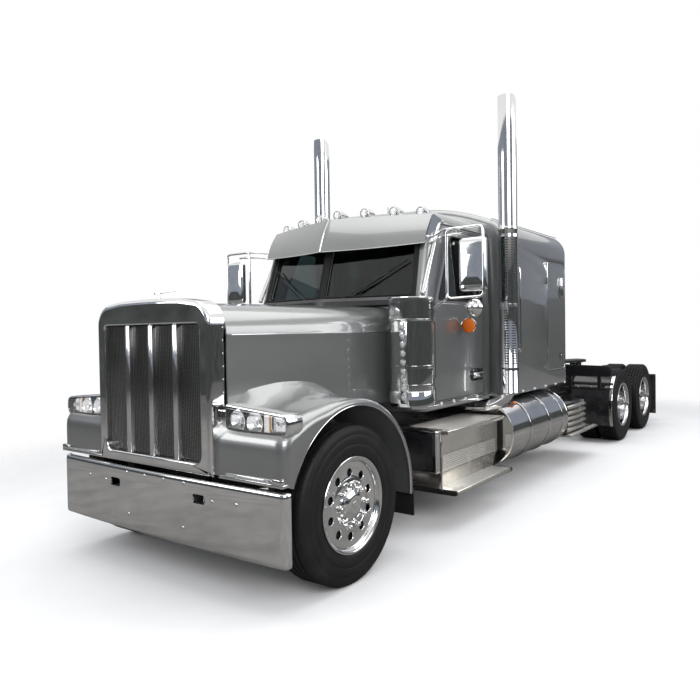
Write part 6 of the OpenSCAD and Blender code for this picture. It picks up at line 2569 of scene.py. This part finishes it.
@dataclass
class Rear:
    """Quarter fenders, mud flaps, lamps and rail bolts behind the sleeper."""

    inner: float = 0.62
    outer: float = 1.2
    fender_r: float = 0.6
    sweep: Pair = (-26, 48)

    def fenders(self) -> Form:
        """The quarter fenders with rolled edges and their brackets."""
        form = Form("quarter_fender_shells")
        x = REAR_X[0]
        rings = []
        for k in range(41):
            a = math.radians(self.sweep[0] + (self.sweep[1] - self.sweep[0]) * k / 40)
            out, up = math.cos(a), math.sin(a)
            r = self.fender_r
            section = [(r - 0.006, self.inner), (r + 0.0008, self.inner), (r + 0.001, self.inner + 0.02),
                (r - 0.0005, self.inner + 0.03), (r - 0.0005, self.outer - 0.03),
                (r + 0.001, self.outer - 0.02), (r + 0.001, self.outer - 0.002), (r - 0.003, self.outer),
                (r - 0.012, self.outer - 0.002), (r - 0.007, self.outer - 0.006)]
            rings.append([Vector((x + out * q, y, AXLE_Z + up * q)) for q, y in section])
        form.loft(rings, GLOSS_BLACK)
        edge = []
        for k in range(41):
            a = math.radians(self.sweep[0] + (self.sweep[1] - self.sweep[0]) * k / 40)
            edge.append((x + (self.fender_r - 0.001) * math.cos(a), self.outer - 0.001,
                AXLE_Z + (self.fender_r - 0.001) * math.sin(a)))
        form.tube(edge, 0.0045, CHROME, 8)
        strip = []
        for k in range(41):
            a = math.radians(self.sweep[0] + (self.sweep[1] - self.sweep[0]) * k / 40)
            section = [(r, y) for r, y in ((self.fender_r, self.outer - 0.04),
                (self.fender_r + 0.0016, self.outer - 0.038), (self.fender_r + 0.0016, self.outer - 0.004),
                (self.fender_r, self.outer - 0.002))]
            strip.append([Vector((x + math.cos(a) * r, y, AXLE_Z + math.sin(a) * r)) for r, y in section])
        form.loft(strip, CHROME)
        panel = rounded([(0.462, 0.985), (1.195, 0.985), (1.195, 1.14), (0.462, 1.155)],
            (0.015, 0.02, 0.035, 0.02), 5)
        form.prism(panel, Along.X, x + 0.58, x + 0.594, GLOSS_BLACK, 0.004)
        for y in (0.6, 1.02):
            form.slab((x + 0.545, y - 0.025, 0.815), (x + 0.583, y + 0.025, 1.06), CHASSIS, 0.005)
        form.slab((x + 0.494, 0.431, 0.801), (x + 0.552, 1.178, 0.823), CHASSIS, 0.006)
        for y in (0.7, 0.9, 1.1):
            form.lathe([(0.82, 0.012), (0.826, 0.012), (0.828, 0.009)], (x + 0.523, y, 0), Along.Z, CHROME,
                8)
        return form

    def flaps(self) -> Form:
        """Mud flaps with weights, and their hanger bars."""
        form = Form("mud_flap_sheets")
        x = ax(-8.865)
        form.prism(rounded([(0.642, 0.152), (1.198, 0.152), (1.198, 0.818), (0.642, 0.818)], 0.012, 3),
            Along.X, x + 0.001, x + 0.011, SEAL, 0.002)
        form.slab((x, 0.66, 0.165), (x + 0.014, 1.18, 0.215), CHROME, 0.003)
        form.slab((x, 0.431, 0.801), (x + 0.06, 1.198, 0.849), CHASSIS, 0.006)
        for y in (0.7, 0.85, 1.0, 1.15):
            form.lathe([(0.008, 0.01), (0.016, 0.01), (0.018, 0.007)], (x, y, 0.785), Along.X, CHROME, 8)
        return form

    def lamps(self) -> Form:
        """Tail lamps in the rear crossmember."""
        form = Form("rear_details")
        x = ax(-8.865)
        for y in (0.18, 0.32):
            form.lathe([(0.03, 0.052), (0.022, 0.054), (0.016, 0.05)], (x - 0.014, y, 0.86), Along.X, SEAL,
                32)
            form.lathe([(0.018, 0.046), (0.012, 0.044), (0.007, 0.03), (0.005, 0.004)],
                (x - 0.004, y, 0.86), Along.X, RED, 32)
        return form

    def build(self) -> None:
        """Builds and dresses the rear parts."""
        self.fenders().mirrored().piece("chassis", "frame_black", "quarter_fenders", sharp=34)
        self.flaps().mirrored().piece("chassis", "rubber", "mud_flaps", sharp=34)
        self.lamps().mirrored().piece("chassis", "lamp")
        bolt = Form("rail_bolt")
        bolt.lathe([(-0.001, 0.014), (0.006, 0.014), (0.0075, 0.012), (0.008, 0.004)], (0, 0, 0), Along.X,
            STEEL, 6)
        rows = [((x, 0.43, z), (0.0, 0.0, math.pi / 2)) for x in
            (-1.5, -1.6, -2.05, -2.15, -2.95, -3.1, -3.25, -3.5, -4.3, -4.45, -4.6) for z in
            (0.8, 0.9, 0.96)]
        settle(PATTERN.lay("rail_bolts", bolt, both_sides(rows), STEEL), "chassis", "frame_black")


# ---------------------------------------------------------------- soft parts


@dataclass
class Upholstery:
    """The two seats and the bunk, swollen by a cloth solver, then sewn."""

    seat_y: float = 0.45
    voxel: float = 0.012
    mattress_voxel: float = 0.018
    pressure: float = 4.0
    frames: int = 20
    cap: float = 0.01

    def cushion(self, name: str, outline: Sequence[Pair], along: Along, at0: float, at1: float,
            voxel: float) -> bpy.types.Object:
        """One cushion from an outline.

        Args:
            name: Its name.
            outline: Its outline.
            along: The axis that it is drawn out along.
            at0: Where it starts.
            at1: Where it ends.
            voxel: Size of the mesh's cells.

        Returns:
            The cushion.
        """
        form = Form(name)
        form.prism(outline, along, at0, at1, LEATHER, 0.02, 3)
        soft = form.mesh()
        remesh = soft.modifiers.new("remesh", "REMESH")
        remesh.mode, remesh.voxel_size = "VOXEL", voxel
        carve(soft, ())
        if not soft.data.materials:
            soft.data.materials.append(LEATHER.material())
        return soft

    def swell(self, soft: bpy.types.Object) -> None:
        """Lets the cloth solver fill a cushion, with its movement capped.

        Args:
            soft: The cushion.
        """
        rest = [v.co.copy() for v in soft.data.vertices]
        cloth = soft.modifiers.new("cloth", "CLOTH")
        settings = cloth.settings
        settings.use_pressure, settings.uniform_pressure_force = True, self.pressure
        settings.effector_weights.gravity = 0
        settings.quality = 5
        cloth.point_cache.frame_start, cloth.point_cache.frame_end = 1, self.frames
        scene = bpy.context.scene
        for step in range(1, self.frames + 1):
            scene.frame_set(step)
        carve(soft, ())
        scene.frame_set(1)
        for vertex, start in zip(soft.data.vertices, rest):
            move = vertex.co - start
            if move.length > self.cap:
                vertex.co = start + move.normalized() * self.cap

    def channels(self, soft: bpy.types.Object, seams: Sequence[float], axis: int, depth: float = 0.005,
            width: float = 0.009) -> None:
        """Presses seams across a cushion.

        Args:
            soft: The cushion.
            seams: Where the seams lie.
            axis: The axis that they are counted along.
            depth: Depth of a seam.
            width: Width of a seam.
        """
        normals = [v.normal.copy() for v in soft.data.vertices]
        for vertex, normal in zip(soft.data.vertices, normals):
            near = min(abs(vertex.co[axis] - s) for s in seams)
            vertex.co -= normal * depth * math.exp(-((near / width) ** 2))
        soft.data.shade_smooth()

    def finish(self, soft: bpy.types.Object, body: str, fill: float, *replaced: str) -> None:
        """Subdivides once and attaches a cushion to its body.

        Args:
            soft: The cushion.
            body: The body that it rides on.
            fill: Not used.
            replaced: The CAD nodes that it stands for.
        """
        smooth = soft.modifiers.new("smooth", "SUBSURF")
        smooth.levels = smooth.render_levels = 1
        settle(soft, body, "upholstery", *replaced)

    def build(self) -> None:
        """Builds the seats and the bunk."""
        made = []
        for side, word in ((1, "left"), (-1, "right")):
            y = side * self.seat_y
            base = self.cushion(f"{word}_seat_cushion",
                rounded([(1.722, y - 0.232), (2.207, y - 0.232), (2.207, y + 0.232), (1.722, y + 0.232)],
                0.055, 5), Along.Z, 1.357, 1.492, self.voxel)
            self.swell(base)
            self.channels(base, (y - 0.115, y + 0.115), 1)
            back = self.cushion(f"{word}_seat_back",
                rounded([(1.722, 1.504), (1.838, 1.504), (1.738, 2.092), (1.632, 2.092)], 0.03, 4), Along.Y,
                y - 0.222, y + 0.222, self.voxel)
            self.swell(back)
            self.channels(back, (1.62, 1.74, 1.86, 1.98), 2)
            head = self.cushion(f"{word}_head_rest",
                rounded([(1.643, 2.108), (1.727, 2.108), (1.727, 2.272), (1.643, 2.272)], 0.028, 4),
                Along.Y, y - 0.122, y + 0.122, self.voxel)
            self.swell(head)
            made += [(base, 0.7), (back, 0.7), (head, 0.8)]
            frame_part = Form(f"{word}_seat_frame")
            frame_part.slab((1.777, y - 0.168, 1.052), (2.093, y + 0.168, 1.348), LINING, 0.012, 3)
            for k in range(5):
                frame_part.slab((1.768, y - 0.172, 1.1 + 0.045 * k), (2.101, y + 0.172, 1.118 + 0.045 * k),
                    SEAL, 0.008)
            frame_part.slab((1.702, y - 0.16, 1.42), (1.722, y + 0.16, 1.9), DASH, 0.008)
            for post in (-0.05, 0.05):
                frame_part.tube([(1.685, y + post, 2.06), (1.685, y + post, 2.14)], 0.006, STEEL, 10)
            frame_part.piece("chassis", "interior", "seats")
        mattress = self.cushion("bunk_mattress",
            rounded([(-0.415, -0.994), (0.543, -0.994), (0.543, 0.994), (-0.415, 0.994)], 0.06, 5), Along.Z,
            1.768, 1.914, self.mattress_voxel)
        self.swell(mattress)
        self.channels(mattress, (-0.66, -0.33, 0.0, 0.33, 0.66), 1, 0.006, 0.012)
        made.append((mattress, 0.6))
        for soft, fill in made:
            if soft is mattress:
                soft.data.materials.clear()
                soft.data.materials.append(CLOTH.material())
                self.finish(soft, "chassis", fill, "bunk")
            else:
                self.finish(soft, "chassis", fill, "seats")
        deck = Form("bunk_base")
        deck.prism(rounded([(-0.439, -1.028), (0.567, -1.028), (0.567, 1.028), (-0.439, 1.028)], 0.012, 3),
            Along.Z, 1.702, 1.759, DASH, 0.006)
        deck.piece("chassis", "interior", "bunk")


@dataclass
class Dressing:
    """Finishes for the CAD nodes that stay as they are."""

    def build(self) -> None:
        """Puts the finishes on the nodes."""
        chassis = ("frame_rails", "crossmembers", "front_axle", "rear_axles", "rear_suspension",
            "left_knuckle", "right_knuckle", "tie_rod", "fifth_wheel_base")
        for node in chassis:
            dress(node, CHASSIS)
        for node in ("engine_block", "driveline"):
            dress(node, CASTING)
        for node, finish in (("radiator", CORE), ("fifth_wheel", GREASED), ("dashboard", DASH),
                ("deck_plate", GLOSS_BLACK)):
            dress(node, finish)


# ---------------------------------------------------------------- the studio


@dataclass
class Studio:
    """Floor, backdrop, lights and camera."""

    eye: Point = (7.456, 3.756, 1.694)
    ahead: Point = (-0.81, -0.586, -0.022)
    roll: float = -0.015
    lens: float = 33.1
    shift: Pair = (-0.0254, -0.0072)
    floor_size: float = 90.0

    def floor(self) -> None:
        """A plain pale floor."""
        form = Form("floor")
        form.slab((-self.floor_size, -self.floor_size, -0.05), (self.floor_size, self.floor_size, 0.0),
            SCREED, 0.01, 1)
        form.mesh()

    def surroundings(self) -> None:
        """A dark yard and hedge that only reflections show, so that bright metal has something to mirror."""
        for name, profile, finish in (("yard", [(0.006, 0.01), (0.006, 17.0)], YARD),
                ("hedge", [(0.0, 17.0), (2.0, 17.1), (2.8, 17.4)], HEDGE),
                ("haze", [(2.8, 17.4), (5.5, 17.6), (9.0, 18.2)], HAZE)):
            form = Form(name)
            form.loft([[Vector((r * math.cos(a), r * math.sin(a), z)) for a in
                (2 * math.pi * k / 64 for k in range(64))] for z, r in profile], finish, caps=False)
            ring = form.mesh()
            for ray in ("camera", "diffuse", "shadow", "transmission"):
                setattr(ring, f"visible_{ray}", False)

    def backdrop(self) -> None:
        """White to the camera, a soft pale studio to everything else."""
        world = bpy.data.worlds.new("studio")
        bpy.context.scene.world = world
        world.use_nodes = True
        tree = world.node_tree
        tree.nodes.clear()
        new, link = tree.nodes.new, tree.links.new
        out, mix = new("ShaderNodeOutputWorld"), new("ShaderNodeMixShader")
        room, white = new("ShaderNodeBackground"), new("ShaderNodeBackground")
        path, top, any_ray = new("ShaderNodeLightPath"), new("ShaderNodeMath"), new("ShaderNodeMath")
        room.inputs["Color"].default_value = (0.93, 0.95, 1.0, 1)
        room.inputs["Strength"].default_value = 0.62
        white.inputs["Color"].default_value = (1, 1, 1, 1)
        white.inputs["Strength"].default_value = 1.0
        top.operation = any_ray.operation = "MAXIMUM"
        link(path.outputs["Is Camera Ray"], top.inputs[0])
        link(path.outputs["Is Transmission Ray"], top.inputs[1])
        link(top.outputs[0], any_ray.inputs[0])
        link(path.outputs["Is Glossy Ray"], any_ray.inputs[1])
        link(any_ray.outputs[0], mix.inputs[0])
        link(room.outputs[0], mix.inputs[1])
        link(white.outputs[0], mix.inputs[2])
        link(mix.outputs[0], out.inputs[0])

    def light(self, name: str, at: Point, target: Point, size: Pair, power: float) -> None:
        """One soft panel.

        Args:
            name: Its name.
            at: Its place.
            target: What it faces.
            size: Width and height.
            power: Watts.
        """
        data = bpy.data.lights.new(name, "AREA")
        data.shape, data.size, data.size_y, data.energy = "RECTANGLE", size[0], size[1], power
        lamp = bpy.data.objects.new(name, data)
        bpy.context.scene.collection.objects.link(lamp)
        turn = (Vector(target) - Vector(at)).to_track_quat("-Z", "Y")
        lamp.matrix_world = Matrix.Translation(at) @ turn.to_matrix().to_4x4()

    def camera(self) -> None:
        """The camera, at a low three-quarter angle from the front left."""
        data = bpy.data.cameras.new("view")
        camera = bpy.data.objects.new("view", data)
        bpy.context.scene.collection.objects.link(camera)
        data.sensor_width, data.lens = 36.0, self.lens
        data.shift_x, data.shift_y = self.shift
        data.clip_end = 300.0
        ahead = Vector(self.ahead).normalized()
        right = ahead.cross(Vector((0, 0, 1))).normalized()
        up = right.cross(ahead)
        c, s = math.cos(self.roll), math.sin(self.roll)
        right, up = right * c + up * s, up * c - right * s
        turn = Matrix((right, up, -ahead)).transposed().to_4x4()
        camera.matrix_world = Matrix.Translation(self.eye) @ turn
        bpy.context.scene.camera = camera

    def build(self) -> None:
        """Sets the studio up."""
        self.floor()
        self.surroundings()
        self.backdrop()
        self.light("overhead", (1.0, 1.0, 9.0), (0.0, 0.0, 1.0), (12.0, 7.0), 620)
        self.light("front_left", (9.0, 7.5, 5.5), (1.5, 0.0, 1.4), (5.0, 4.0), 420)
        self.light("front_right", (10.5, -5.0, 4.5), (3.0, 0.0, 1.2), (4.0, 3.5), 220)
        self.light("side", (-3.0, 10.5, 5.0), (-1.0, 0.0, 1.5), (9.0, 4.0), 420)
        self.camera()
        scene = bpy.context.scene
        scene.view_settings.view_transform = "Standard"


def main() -> None:
    """Builds the tractor piece by piece, then the studio."""
    logging.basicConfig(level=logging.INFO, format="%(message)s")
    for part in (Hood(), Grille(), Headlight(), Bumper(), Cab(), SLEEPER, AirCleaner(), Stack(), Mirror(),
            Tank(), Steps(), Rear(), Wheels(), Upholstery(), Dressing(), Studio()):
        log.info("building %s", type(part).__name__)
        part.build()


if __name__ == "__main__":
    main()
